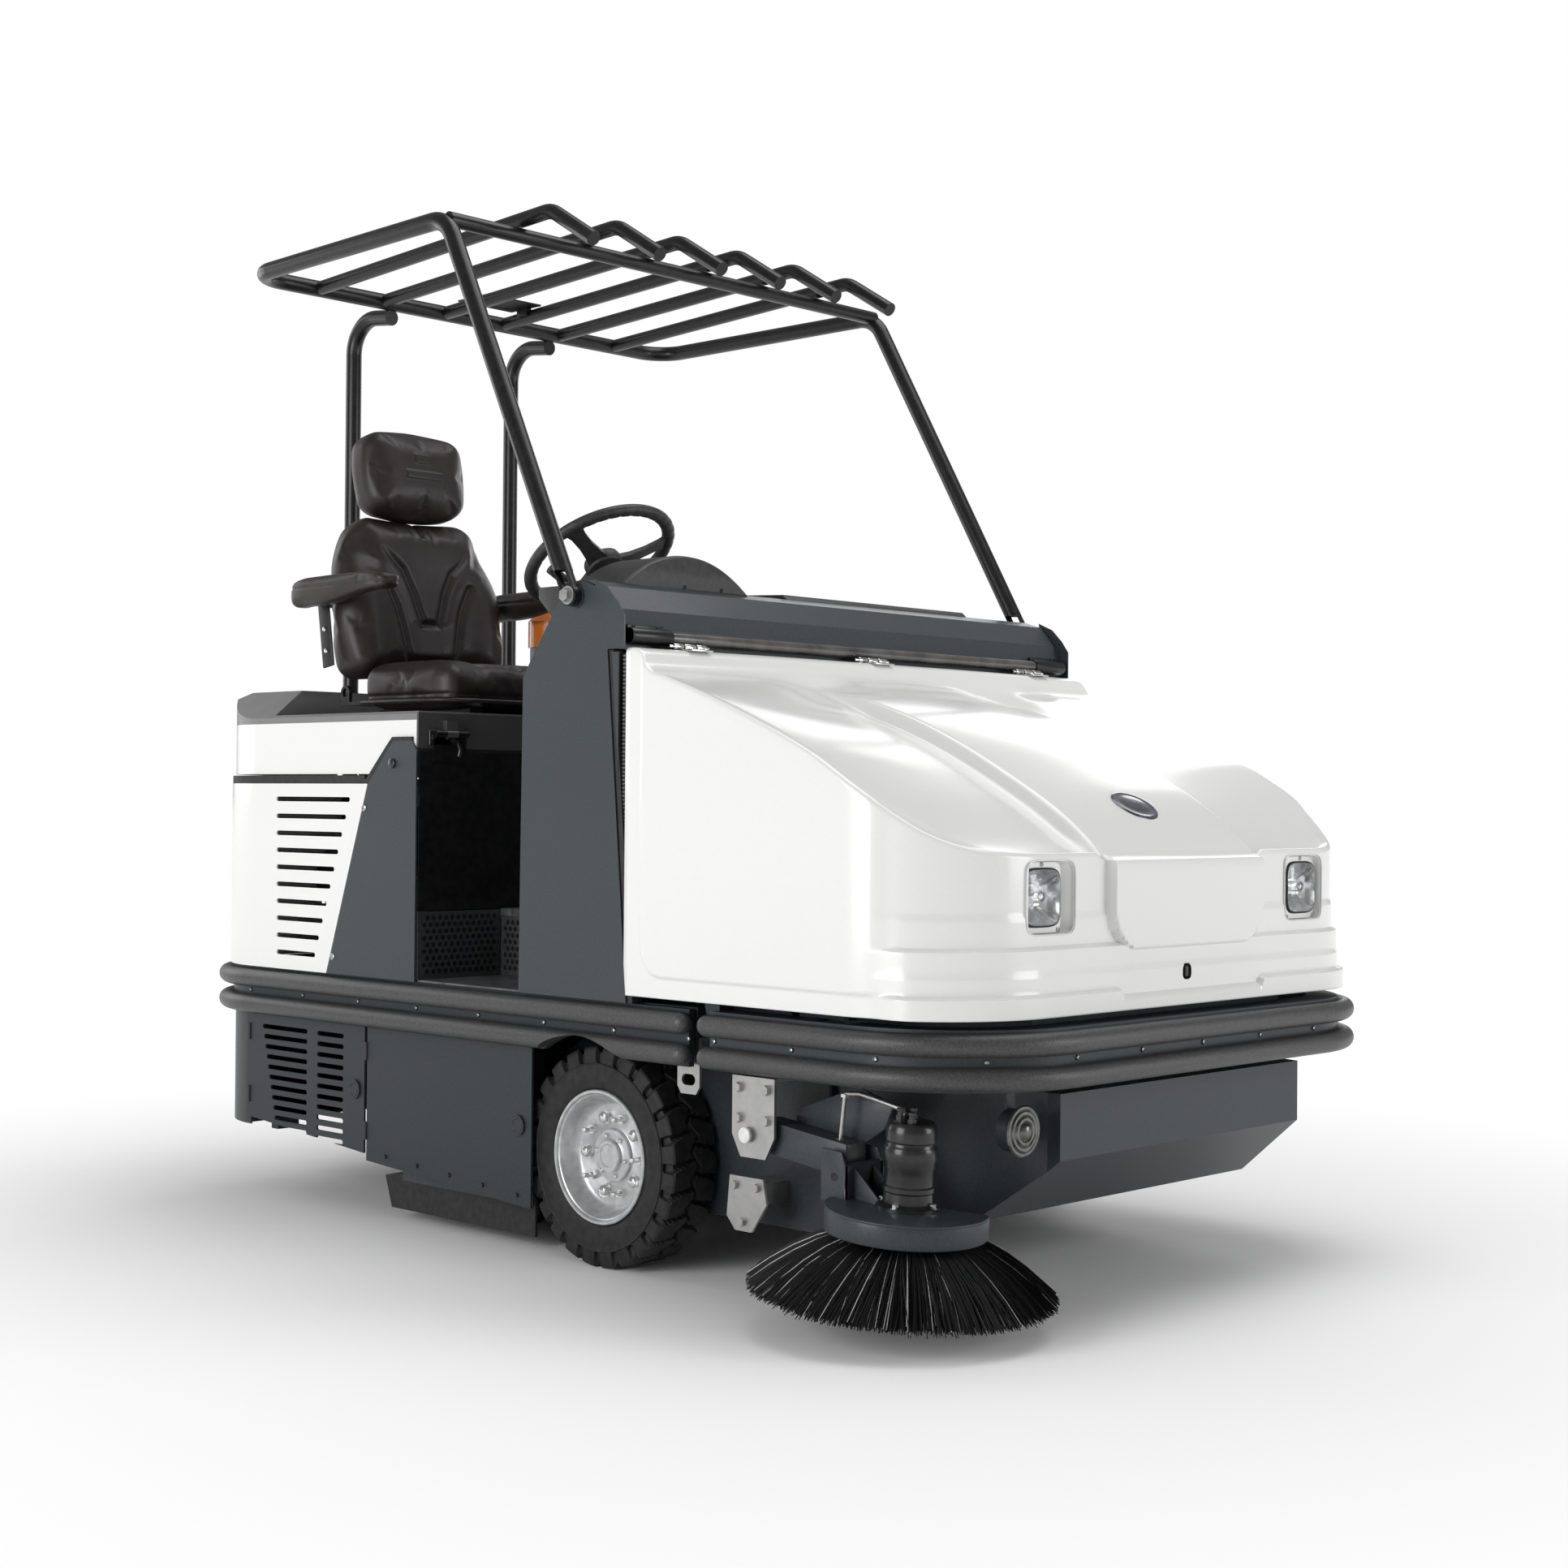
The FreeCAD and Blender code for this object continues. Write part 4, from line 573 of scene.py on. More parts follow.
def build_lamps(hood):
    """Lamp wells and latch pocket cut into the hood, with the lamps and the latch in them."""
    opening, pocket = superellipse(LAMP_WIDE / 2, LAMP_HIGH / 2, 7, 72), superellipse(15, 15, 3, 32)
    cutters = []
    for outline, x, z, back in ((opening, -LAMP_X, LAMP_Z, -900), (opening, LAMP_X, LAMP_Z, -900),
                                (pocket, LATCH_X, LATCH_Z, -940)):
        points, _ = prism_y(outline, x, z, [(-1010, 0), (back, 0)])
        cutters.append((points, closed(2, len(outline[0]))))
    cut(hood, cutters)

    wells, bezels, gaskets, lenses, bowls, screws = [], [], [], [], [], []
    lens = superellipse(54, 53, 4.5, 72)
    outline_x, outline_z = superellipse(PLATE_HALF, 66, 9, 72)
    for sign in (-1, 1):
        x = sign * LENS_X
        rows = []
        xs, zs = opening
        outer = LAMP_X + LAMP_WIDE / 2
        for y, grow, share in ((-963, 2, 0), (-961, 2.6, 0), (-957, 1.4, 0), (-954, 0, 0), (-950, -0.5, 0.03),
                               (-942, -0.5, 0.07), (-932, -0.5, 0.115), (-922, -1, 0.16), (-916, -1, 0.19)):
            local = LAMP_X - xs * (1 + grow / 70)
            local = outer - (outer - local) * (1 - share)
            rows.append(np.stack([sign * local, np.full(72, float(y)), LAMP_Z + zs * (1 + grow / 70)], 1))
        wells.append((np.concatenate(rows), grid_faces(len(rows), 72, wrap=True)))
        rows = []
        for y, share in ((-920, 0), (-944, 0), (-946, 0.08), (-946, 0.92), (-944, 1), (-930, 1)):
            rows.append(np.stack([x + outline_x * (1 - share) + lens[0] * share * 1.02, np.full(72, float(y)),
                                  LAMP_Z + outline_z * (1 - share) + lens[1] * share * 1.02], 1))
        bezels.append((np.concatenate(rows), grid_faces(len(rows), 72, wrap=True)))
        rim = [(-940, 1.5), (-949.5, 1.3), (-950.5, 0), (-950, -2), (-940, -2.5)]
        gaskets.append(prism_y(lens, x, LAMP_Z, rim))
        glass = [(-944, -2), (-951, -2.2), (-954, -6), (-956, -18), (-957.5, -40), (-958, -62)]
        bowl = [(-945, -3), (-933, -9), (-920, -20), (-908, -38), (-903, -56), (-902, -70)]
        for shapes, stations in ((lenses, glass), (bowls, bowl)):
            points, faces = prism_y(lens, x, LAMP_Z, stations)
            shapes.append((points, [*faces, prism_cap(len(stations), 72)]))
        for px, pz in ((0, 61), (-50, -60), (50, -60)):
            screws.append(screw_head((x + px, -946, LAMP_Z + pz), FRONT, 4.2, 2.6))
        bulb = [(0, 16), (6, 17), (10, 13), (26, 12.5), (32, 9), (34, 0.1)]
        bowls.append(turned(bulb, (x, -907, LAMP_Z + 2), FRONT, 24))
    join_mesh("headlamp_wells", wells, "hood", "white_panel")
    join_mesh("headlamp_bezels", bezels, "hood", "white_panel")
    join_mesh("headlamp_gaskets", gaskets, "hood", "black_rubber")
    join_mesh("headlamp_screws", screws, "hood", "zinc")
    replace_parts(join_mesh("headlamp_glass", lenses, "hood", "lamp_lens"), "headlamps")
    join_mesh("headlamp_bowls", bowls, "hood", "lamp_lens", "reflector", angle=60)

    rows = [(-972.5, 2), (-974, 0), (-970, -1), (-950, -2), (-948, -6), (-948, -14)]
    points, faces = prism_y(pocket, LATCH_X, LATCH_Z, rows)
    faces.append(prism_cap(len(rows), 32))
    handle = rounded_box((-19, -975, 618), (-8, -950, 640), 3)
    join_mesh("hood_latch", [(points, faces), handle], "hood", "dark_plastic")


def build_badge():
    """Plain generic oval badge in the middle of the hood."""
    rows, count = [], 64
    angles = 2 * math.pi * np.arange(count) / count
    for half_x, half_y, lift in ((58, 40, -2), (58, 40, 1.5), (56, 38, 3.0), (52, 34.5, 3.2), (50, 33, 2.4),
                                 (34, 22, 4.6), (18, 12, 5.6), (0.5, 0.4, 5.9)):
        x = half_x * np.cos(angles)
        y = -838 + half_y * np.sin(angles)
        rows.append(np.stack([x, y, hood_top(x, y) + lift], 1))
    faces = grid_faces(len(rows), count, wrap=True)
    piece("hood_badge", np.concatenate(rows), faces, "hood", "smoke_lens", "badge_blue", angle=40)


def build_hood_hinges():
    """Three hinges with their knuckles, pins, leaves and screws."""
    parts, axis_y, axis_z = [], -131, 1266
    for x in (-560, 0, 560):
        for side in (-32, 0, 32):
            half = 15 if side == 0 else 13
            parts.append(turned(rounded(2 * half, 6.5, 1.2), (x + side - half, axis_y, axis_z), (1, 0, 0), 20))
        parts.append(rounded_box((x - 30, -172, 1256), (x + 30, -134, 1260), 1.5, 2))
        parts.append(turned(rounded(112, 3.2, 1), (x - 56, axis_y, axis_z), (1, 0, 0), 12))
        parts += [screw_head((x + dx, -158, 1260), UP, 5, 3) for dx in (-20, 20)]
    join_mesh("hood_hinges", parts, "hood", "chromed")


# ---------------------------------------------------------------- seat

SEAT_X, SEAT_TURN_Y, SEAT_TURN_Z, BACK_LEAN = -405.0, 975.0, 1200.0, math.radians(9)
SEAT_HALF = 236


def leaned(points):
    """Upright seat points leaned back with the backrest."""
    points = np.array(points, float)
    y, z = points[:, 1] - SEAT_TURN_Y, points[:, 2] - SEAT_TURN_Z
    points[:, 1] = SEAT_TURN_Y + y * math.cos(BACK_LEAN) + z * math.sin(BACK_LEAN)
    points[:, 2] = SEAT_TURN_Z - y * math.sin(BACK_LEAN) + z * math.cos(BACK_LEAN)
    return points


def mesh_points(mesh):
    """Vertices of a mesh in design millimetres."""
    flat = np.empty(len(mesh.vertices) * 3)
    mesh.vertices.foreach_get("co", flat)
    return (flat.reshape(-1, 3) - np.array(ORIGIN)) * 1000


def set_points(mesh, points):
    """Puts a mesh's vertices at places in design millimetres."""
    mesh.vertices.foreach_set("co", metres(points).ravel())
    mesh.update()


def inflate(thing, cap):
    """Lets the pad's skin swell under pressure, by at most cap millimetres, and keeps the result."""
    before = mesh_points(thing.data)
    cloth = thing.modifiers.new("swell", "CLOTH")
    cloth.settings.use_pressure = True
    cloth.settings.uniform_pressure_force = 4.0
    cloth.settings.quality = 4
    cloth.settings.tension_stiffness = 20
    cloth.settings.compression_stiffness = 20
    cloth.settings.bending_stiffness = 2.0
    cloth.settings.effector_weights.gravity = 0
    cloth.collision_settings.use_collision = False
    cloth.collision_settings.use_self_collision = False
    for number in range(1, 21):
        bpy.context.scene.frame_set(number)
    graph = bpy.context.evaluated_depsgraph_get()
    swollen = bpy.data.meshes.new_from_object(thing.evaluated_get(graph), depsgraph=graph)
    after = mesh_points(swollen)
    thing.modifiers.clear()
    bpy.context.scene.frame_set(1)
    move = after - before
    length = np.linalg.norm(move, axis=1, keepdims=True)
    keep = np.where(length > 0.001, cap * np.tanh(length / cap) / np.maximum(length, 0.001), 1)
    set_points(thing.data, before + move * keep)


def pad(name, body, node, low, high, fillet, shape, groove, cap, voxel=6.0, lean=False):
    """Upholstered pad: rounded block, shaped, swollen as cloth, then its sewn lines pressed in."""
    points, faces = rounded_box(low, high, fillet, 4)
    thing = piece(name, points, faces, body, "seat_vinyl", angle=80)
    weld(thing)
    remesh = thing.modifiers.new("even", "REMESH")
    remesh.mode, remesh.voxel_size, remesh.use_smooth_shade = "VOXEL", voxel / 1000, True
    apply_modifiers(thing)
    set_points(thing.data, shape(mesh_points(thing.data)))
    inflate(thing, cap)
    thing.modifiers.new("fine", "SUBSURF").levels = 1
    apply_modifiers(thing)
    points = groove(mesh_points(thing.data))
    set_points(thing.data, leaned(points) if lean else points)
    thing.data.shade_smooth()
    thing.data.materials.clear()
    thing.data.materials.append(mats["seat_vinyl"])
    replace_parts(thing, node)


def to_line(x, z, line):
    """Distance from points to a broken line in a plane."""
    best = np.full(x.shape, 1e9)
    for (ax, az), (bx, bz) in zip(line, line[1:]):
        dx, dz = bx - ax, bz - az
        t = np.clip(((x - ax) * dx + (z - az) * dz) / (dx * dx + dz * dz), 0, 1)
        best = np.minimum(best, np.hypot(x - ax - t * dx, z - az - t * dz))
    return best


def valley(distance, width, depth):
    """Depth of a soft groove at a distance from its line."""
    return depth * np.exp(-(distance / width) ** 2)


def build_cushion():
    """Seat cushion with raised side bolsters, sewn lines and piping round its lower edge."""
    def cushion_shape(p):
        x, y = np.abs(p[:, 0] - SEAT_X), p[:, 1]
        up = step(1196, 1246, p[:, 2])
        p[:, 2] += up * (14 * step(120, 205, x) * step(560, 650, y) - 8 * step(170, 40, x) * step(590, 720, y))
        p[:, 2] += up * 8 * step(650, 575, y)
        p[:, 0] -= (p[:, 0] - SEAT_X) * 0.05 * step(620, 560, y)
        return p

    def cushion_groove(p):
        x, y = np.abs(p[:, 0] - SEAT_X), p[:, 1]
        up = step(1228, 1244, p[:, 2])
        lines = ([(150, 880), (150, 650), (136, 616), (104, 600), (0, 596)],)
        p[:, 2] -= up * sum(valley(to_line(x, y, line), 7, 6) for line in lines)
        rim = valley(p[:, 2] - 1188, 4, 4)
        p[:, 0] -= np.sign(p[:, 0] - SEAT_X) * rim * step(200, 225, x)
        p[:, 1] += rim * step(590, 570, y)
        return p

    pad("cushion", "seat", "seat_cushion", (SEAT_X - SEAT_HALF, 562, 1168), (SEAT_X + SEAT_HALF, 888, 1246), 30,
        cushion_shape, cushion_groove, 13)
    edge = [(SEAT_X + dx, y, 1174) for dx, y in ((-232, 884), (-238, 800), (-238, 660), (-232, 600), (-206, 569),
                                                 (-150, 560), (0, 557), (150, 560), (206, 569), (232, 600),
                                                 (238, 660), (238, 800), (232, 884))]
    join_mesh("cushion_piping", [tube(edge, 5, 10)], "seat", "seat_vinyl", angle=80)


def build_backrest():
    """Backrest that narrows to its shoulders, with bolsters and two pairs of sewn valleys."""
    def back_shape(p):
        x, z = p[:, 0] - SEAT_X, p[:, 2]
        front = step(985, 925, p[:, 1])
        shoulder = np.clip((z - 1400) / 240, 0, 1)
        p[:, 0] = SEAT_X + x * (1 - 0.34 * shoulder ** 2.2 - 0.05 * step(1330, 1230, z))
        p[:, 1] -= front * 22 * step(90, 200, np.abs(x)) * step(1580, 1400, z)
        p[:, 1] += front * 6 * step(110, 30, np.abs(x)) * step(1600, 1450, z)
        return p

    def back_groove(p):
        x, z = np.abs(p[:, 0] - SEAT_X), p[:, 2]
        front = step(968, 935, p[:, 1])
        inner = [(0, 1362), (22, 1362), (36, 1400), (46, 1435), (72, 1490), (128, 1540)]
        outer = [(0, 1274), (62, 1274), (72, 1290), (82, 1345), (96, 1400), (124, 1456)]
        soft = valley(to_line(x, z, inner), 9, 9) * step(150, 90, x) + valley(to_line(x, z, outer), 9, 9)
        tongue = 6 * step(1352, 1376, z) * step(60, 20, x - np.interp(z, [1362, 1435, 1540], [10, 30, 110]))
        p[:, 1] += front * (soft - tongue * step(1640, 1500, z))
        return p

    pad("backrest", "backrest", "seat_backrest", (SEAT_X - SEAT_HALF, 914, 1230), (SEAT_X + SEAT_HALF, 1016, 1632),
        42, back_shape, back_groove, 15, lean=True)


def build_headrest():
    """Headrest pad with rounded corners and two flat marks pressed into its front."""
    middle = 1740

    def head_shape(p):
        x, z = p[:, 0] - SEAT_X, p[:, 2]
        across, up = np.abs(x) / 150, np.abs(z - middle) / 100
        shrink = 1 - 0.10 * np.clip(across * up, 0, 1) ** 2
        p[:, 0] = SEAT_X + x * shrink
        p[:, 2] = middle + (z - middle) * shrink
        return p

    def head_groove(p):
        x, z = p[:, 0] - SEAT_X, p[:, 2]
        front = step(935, 915, p[:, 1])
        upper = step(22, 19, np.abs(x + 4)) * step(1752, 1755, z) * step(1779, 1776, z)
        lower = step(56, 52, np.abs(x)) * step(1713, 1716, z) * step(1736, 1733, z)
        p[:, 1] -= front * 3.5 * (upper + lower)
        return p

    pad("headrest_pad", "backrest", "headrest", (SEAT_X - 148, 884, 1624), (SEAT_X + 148, 996, 1838), 44,
        head_shape, head_groove, 12, voxel=5.0, lean=True)


def build_armrests():
    """Two armrest pads, tapered towards the front, each with a seam and its hinge."""
    for name, sign, body in (("armrest_right", -1, "arm_right"), ("armrest_left", 1, "arm_left")):
        x0, x1 = sorted((SEAT_X + sign * 254, SEAT_X + sign * 323))
        middle, top = (x0 + x1) / 2, 1468

        def arm_shape(p):
            y, z = p[:, 1], p[:, 2]
            p[:, 2] = (top - (top - z) * (1 - 0.42 * step(960, 760, y)) - 5 * step(760, 690, y)
                       - 7 * step(1000, 1075, y))
            p[:, 0] = middle + (p[:, 0] - middle) * (1 - 0.10 * step(1000, 1070, y) - 0.06 * step(740, 690, y))
            return p

        def arm_groove(p):
            p[:, 0] -= np.sign(p[:, 0] - middle) * valley(p[:, 2] - 1441, 3.5, 2.5)
            return p

        pad(f"{name}_pad", body, name, (x0 + 3, 697, 1402), (x1 - 3, 1064, 1466), 22, arm_shape, arm_groove, 7,
            voxel=5.0)
        inner = SEAT_X + sign * 247
        bracket = rounded_box((inner - 3, 985, 1398), (inner + 3, 1030, 1450), 2.5)
        bolt = turned([(0, 17), (8, 17), (9.5, 15), (9.5, 8), (7, 7.5), (7, 0.1)],
                      (SEAT_X + sign * 244, 1005, 1420), (sign, 0, 0), 24)
        join_mesh(f"{name}_hinge", [bracket, bolt], body, "black_steel")


def build_back_plates():
    """Steel plate up each side of the backrest, with the screws of the outer one."""
    plates = []
    for x in (SEAT_X - 249, SEAT_X + 249):
        points, faces = rounded_box((x - 3, 962, 1262), (x + 3, 1004, 1420), 2.8)
        plates.append((leaned(points), faces))
    join_mesh("backrest_side_plates", plates, "backrest", "black_steel")
    screws = [screw_head(leaned([(SEAT_X - 252, 983, z)])[0], (-1, 0, 0), 6, 4) for z in (1300, 1352)]
    join_mesh("backrest_screws", screws, "backrest", "chromed")


# ---------------------------------------------------------------- wheels

WHEEL_X, WHEEL_RADIUS, REAR_RADIUS = 618, 225, 200


def build_tyre(name, body, centre, radius, width, bore, lugs):
    """Solid industrial tyre: shoulder blocks in a herringbone, parted by a zigzag groove in the middle."""
    half = width / 2
    side_wall = [(-half + 12, bore), (-half + 6, bore + 3), (-half + 2, bore + 10), (-half, bore + 24),
                 (-half + 0.5, radius - 37), (-half - 0.8, radius - 35), (-half - 0.8, radius - 34),
                 (-half + 1.5, radius - 33), (-half + 1.5, radius - 29), (-half + 2, radius - 27),
                 (-half + 2, radius - 15), (-half + 3, radius - 6), (-half + 5, radius - 2)]
    tread = [(w, radius) for w in np.arange(-half + 8, half - 7.9, (width - 16) / 44)]
    profile = side_wall + tread + [(-w, r) for w, r in reversed(side_wall)]
    count = lugs * 16
    turn = np.arange(count) / 16
    zigzag = half * 0.16 * (4 * np.abs(turn % 1 - 0.5) - 1)
    rows = []
    for w, r in profile:
        hand = np.where(w > zigzag, 1, -1)
        outward = min(abs(w) / half, 1)
        phase = (turn + 0.5 * (hand > 0) + 0.30 * (1 - outward)) % 1
        gap = 0.05 + 0.08 * step(0.45, 1.0, outward)
        groove = np.maximum(step(gap + 0.035, gap, np.minimum(phase, 1 - phase)),
                            step(3.6, 2.0, np.abs(w - zigzag))) * step(radius - 30, radius - 27, r)
        depth = 12 * groove
        inset = 8 * groove * step(half - 12, half - 4, abs(w))
        x = centre[0] + w - math.copysign(1, w) * inset
        rows.append(np.stack([x * np.ones(count), centre[1] + (r - depth) * np.cos(2 * math.pi * turn / lugs),
                              centre[2] + (r - depth) * np.sin(2 * math.pi * turn / lugs)], 1))
    faces = grid_faces(len(rows), count, wrap=True)
    last = (len(rows) - 1) * count
    faces += [(last + i, last + (i + 1) % count, (i + 1) % count, i) for i in range(count)]
    thing = piece(f"{name}_tread", np.concatenate(rows), faces, body, "tyre_black", angle=30)
    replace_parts(thing, name)


def build_rim(side, name, body):
    """Deep dished rim with a flat disc, hub flange, wheel bolts and studs."""
    centre, way = (side * WHEEL_X, 0, WHEEL_RADIUS), (side, 0, 0)
    profile = [(8, 0.1), (8, 60), (6, 106), (-20, 122), (-58, 128), (-58, 137.5), (60, 137.5), (62, 135.5),
               (62, 131), (60, 129), (57, 128), (56, 126), (54, 124), (30, 117), (20, 112), (15, 106), (14, 103),
               (14, 56), (15, 54.5), (22, 54), (24, 52), (24, 35), (25, 33.5), (33, 33), (35, 31), (35, 24),
               (33, 22), (32, 0.1)]
    rim = join_mesh(f"front_rim_{name}_dish", [turned(profile, centre, way, 96)], body, "rim_silver", angle=40)
    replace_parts(rim, f"front_rim_{name}")
    bolts, cap_nut = [], [(0, 14), (3, 14), (3, 12.5), (12, 12), (15, 10), (16.5, 6), (17, 0.1)]

    def spot(angle, radius, depth):
        angle = math.radians(angle)
        return centre[0] + side * depth, radius * math.cos(angle), WHEEL_RADIUS + radius * math.sin(angle)

    for k in range(10):
        foot = spot(36 * k, 80, 14)
        if k % 2:
            bolts.append(turned([(0, 10), (9, 10), (9, 9)], foot, way, 6))
            bolts.append(turned(rounded(30, 5.5, 1.2), foot, way, 16))
        else:
            bolts.append(turned(cap_nut, foot, way, 24))
    for k in range(6):
        bolts.append(turned([(0, 5), (5, 5), (6, 0.1)], spot(60 * k + 10, 43, 24), way, 6))
    join_mesh(f"front_rim_{name}_bolts", bolts, body, "zinc", "chromed")


def build_wheels():
    """Two front wheels with dished rims and the rear tyre."""
    hands = ((-1, "right"), (1, "left"))
    for side, name in hands:
        build_tyre(f"front_tyre_{name}", f"wheel_{name}", (side * WHEEL_X, 0, WHEEL_RADIUS), WHEEL_RADIUS, 126,
                   137, 24)
    low, high = (np.array(corner - ORIGIN) * 1000 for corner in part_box("rear_tyre"))
    build_tyre("rear_tyre", "wheel_rear", (0, (low[1] + high[1]) / 2, REAR_RADIUS), REAR_RADIUS, high[0] - low[0],
               110, 22)
    for side, name in hands:
        build_rim(side, name, f"wheel_{name}")


# ---------------------------------------------------------------- brushes

SIDE_X, SIDE_Y, SIDE_Z, SIDE_LIFT = -645.0, -791.0, 72.0, math.radians(4)
SIDE_R_TIP, SIDE_R_LIMIT = 272.0, 284


def tilted(points):
    """Level side-brush points tilted as the arm holds the brush."""
    points = np.array(points, float)
    y, z = points[:, 1] - SIDE_Y, points[:, 2] - SIDE_Z
    points[:, 1] = SIDE_Y + y * math.cos(SIDE_LIFT) - z * math.sin(SIDE_LIFT)
    points[:, 2] = SIDE_Z + y * math.sin(SIDE_LIFT) + z * math.cos(SIDE_LIFT)
    return points


def bristle_mesh(paths, thickness):
    """Three-sided strands, all in one mesh; paths has shape (strand, point, 3)."""
    count, steps, _ = paths.shape
    way = np.gradient(paths, axis=1)
    way /= np.linalg.norm(way, axis=2, keepdims=True)
    u = np.cross(way, np.array((0.31, 0.52, 0.79)))
    u /= np.linalg.norm(u, axis=2, keepdims=True)
    v = np.cross(way, u)
    taper = np.linspace(1.0, 0.65, steps)[None, :, None] * thickness / 2
    sides = [paths + taper * (math.cos(a) * u + math.sin(a) * v) for a in (0, 2 * math.pi / 3, 4 * math.pi / 3)]
    points = np.stack(sides, 2).reshape(-1, 3)
    faces = []
    for strand in range(count):
        start = strand * steps * 3
        faces += grid_faces(steps, 3, start, wrap=True)
        faces += [(start + 2, start + 1, start), tuple(start + (steps - 1) * 3 + i for i in range(3))]
    return points, faces


def build_side_brush():
    """Bristles in tufts on two circles, a few pale strands among them as painted highlight, the plate that holds
    them and its bolts.
    """
    tufts, each = 60, 58
    # The second set of pale strands is painted highlight: glints on the bristles drawn as light grey strands.
    for name, share, material in (("side_brush_bristles", 0.93, "bristle"),
                                  ("side_brush_highlight_strands", 0.07, "bristle_highlight")):
        paths = []
        t = np.linspace(0, 1, 5)
        for tuft in range(tufts):
            angle = 2 * math.pi * tuft / tufts
            for row in range(2):
                root = 112 - 26 * row
                for _ in range(max(2, int(each * share))):
                    spread = RANDOM.normal(0, 0.052)
                    reach = RANDOM.normal(0, 9) - 24 * row
                    tip_z = max(SIDE_Z + RANDOM.normal(0, 4), SIDE_Z - 9)
                    start_angle = angle + spread * 0.25
                    end_angle = angle + spread - 0.02
                    radius = root + (min(SIDE_R_TIP + reach, SIDE_R_LIMIT) - root) * t ** 0.92
                    around = start_angle + (end_angle - start_angle) * t
                    z = 176 + (tip_z - 176) * (0.62 * t + 0.38 * t ** 2)
                    x, y = SIDE_X + radius * np.cos(around), SIDE_Y + radius * np.sin(around)
                    paths.append(np.stack([x, y, z], 1))
        points, faces = bristle_mesh(np.array(paths), 3.0 if material == "bristle" else 2.2)
        thing = piece(name, tilted(points), faces, "side_roll", "bristle", material, angle=70)
        if material == "bristle":
            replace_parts(thing, "side_brush")
    foot = (SIDE_X, SIDE_Y, 0)
    plate = turned([(174, 40), (174, 108), (177, 118), (194, 120), (198, 116), (200, 60), (204, 56), (220, 54),
                    (224, 30)], foot, UP, 72)
    skirt = turned([(88, 226), (90, 224), (170, 108), (174, 100), (168, 96), (84, 214), (82, 224)], foot, UP, 72)
    shaft = turned(rounded(42, 12, 1.5), (SIDE_X, SIDE_Y, 198), UP, 24)
    bolts = [turned([(0, 9), (6, 9), (7.5, 7.5), (7.5, 0.1)],
                    (SIDE_X + 88 * math.cos(a), SIDE_Y + 88 * math.sin(a), 199), UP, 6)
             for a in np.arange(6) * math.pi / 3]
    parts = [(tilted(points), faces) for points, faces in [plate, skirt, shaft, *bolts]]
    join_mesh("side_brush_plate", parts, "side_roll", "dark_plastic")


def build_main_brush():
    """Roller with ten spiral rows of bristles, their strips and its core."""
    low, high = (np.array(corner - ORIGIN) * 1000 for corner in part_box("main_brush"))
    axis_y, axis_z = (low[1] + high[1]) / 2, (low[2] + high[2]) / 2
    radius, core, twist = (high[1] - low[1]) / 2, 71, 1.6
    paths = []
    rows, stations = 10, 96
    t = np.linspace(0, 1, 3)
    for row in range(rows):
        for station in range(stations):
            along = station / (stations - 1)
            for _ in range(5):
                x = low[0] + 16 + (high[0] - low[0] - 32) * along + RANDOM.normal(0, 3)
                angle = 2 * math.pi * row / rows + twist * along + RANDOM.normal(0, 0.015)
                lean = RANDOM.normal(0, 0.05)
                r = core - 1 + (radius - 1 - core + RANDOM.uniform(-4, 0)) * t
                paths.append(np.stack([x + RANDOM.normal(0, 4) * t, axis_y + r * np.cos(angle + lean * t),
                                       axis_z + r * np.sin(angle + lean * t)], 1))
    points, faces = bristle_mesh(np.array(paths), 3.6)
    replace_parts(piece("main_brush_bristles", points, faces, "brush_roll", "bristle", angle=70), "main_brush")
    share = (high[0] - low[0]) / 1070
    profile = [(0, 14), (0, 60), (4 * share, core), (1066 * share, core), (1070 * share, 60), (1070 * share, 14)]
    spindle = turned(profile, (low[0], axis_y, axis_z), (1, 0, 0), 48)
    strips = []
    for row in range(rows):
        path = []
        for along in np.linspace(0, 1, 40):
            angle = 2 * math.pi * row / rows + twist * along
            path.append((low[0] + 12 + (high[0] - low[0] - 24) * along, axis_y + core * math.cos(angle),
                         axis_z + core * math.sin(angle)))
        strips.append(tube(path, 6, 8))
    join_mesh("main_brush_core", [spindle, *strips], "brush_roll", "dark_plastic")


# ---------------------------------------------------------------- fixings and trim

def build_bumper_screws():
    """Screws along the middle channel of each bumper: side, corner and end, evenly spaced."""
    half, height = 711.0, 492
    for name, body, way, start, end, corner, count in (
            ("front_bumper_screws", "hopper", -1, -369.0, -1003.0, 285.0, 13),
            ("rear_bumper_screws", "chassis", 1, -298.0, 1495.0, 290.0, 23)):
        side, arc = abs(end - start) - corner, corner * math.pi / 2
        across = half - corner
        screws = []
        for place in np.linspace(-1, 1, count) * (side + arc + across):
            hand, left = math.copysign(1, place), abs(place)
            turn = min(max(left - across, 0) / corner, math.pi / 2)
            x = min(left, across) + corner * math.sin(turn)
            y = corner * (math.cos(turn) - 1) - max(left - across - arc, 0)
            outward = (hand * math.sin(turn), way * math.cos(turn), 0)
            screws.append(screw_head((hand * x, end + way * y, height), outward, 5, 4))
        join_mesh(name, screws, body, "zinc")


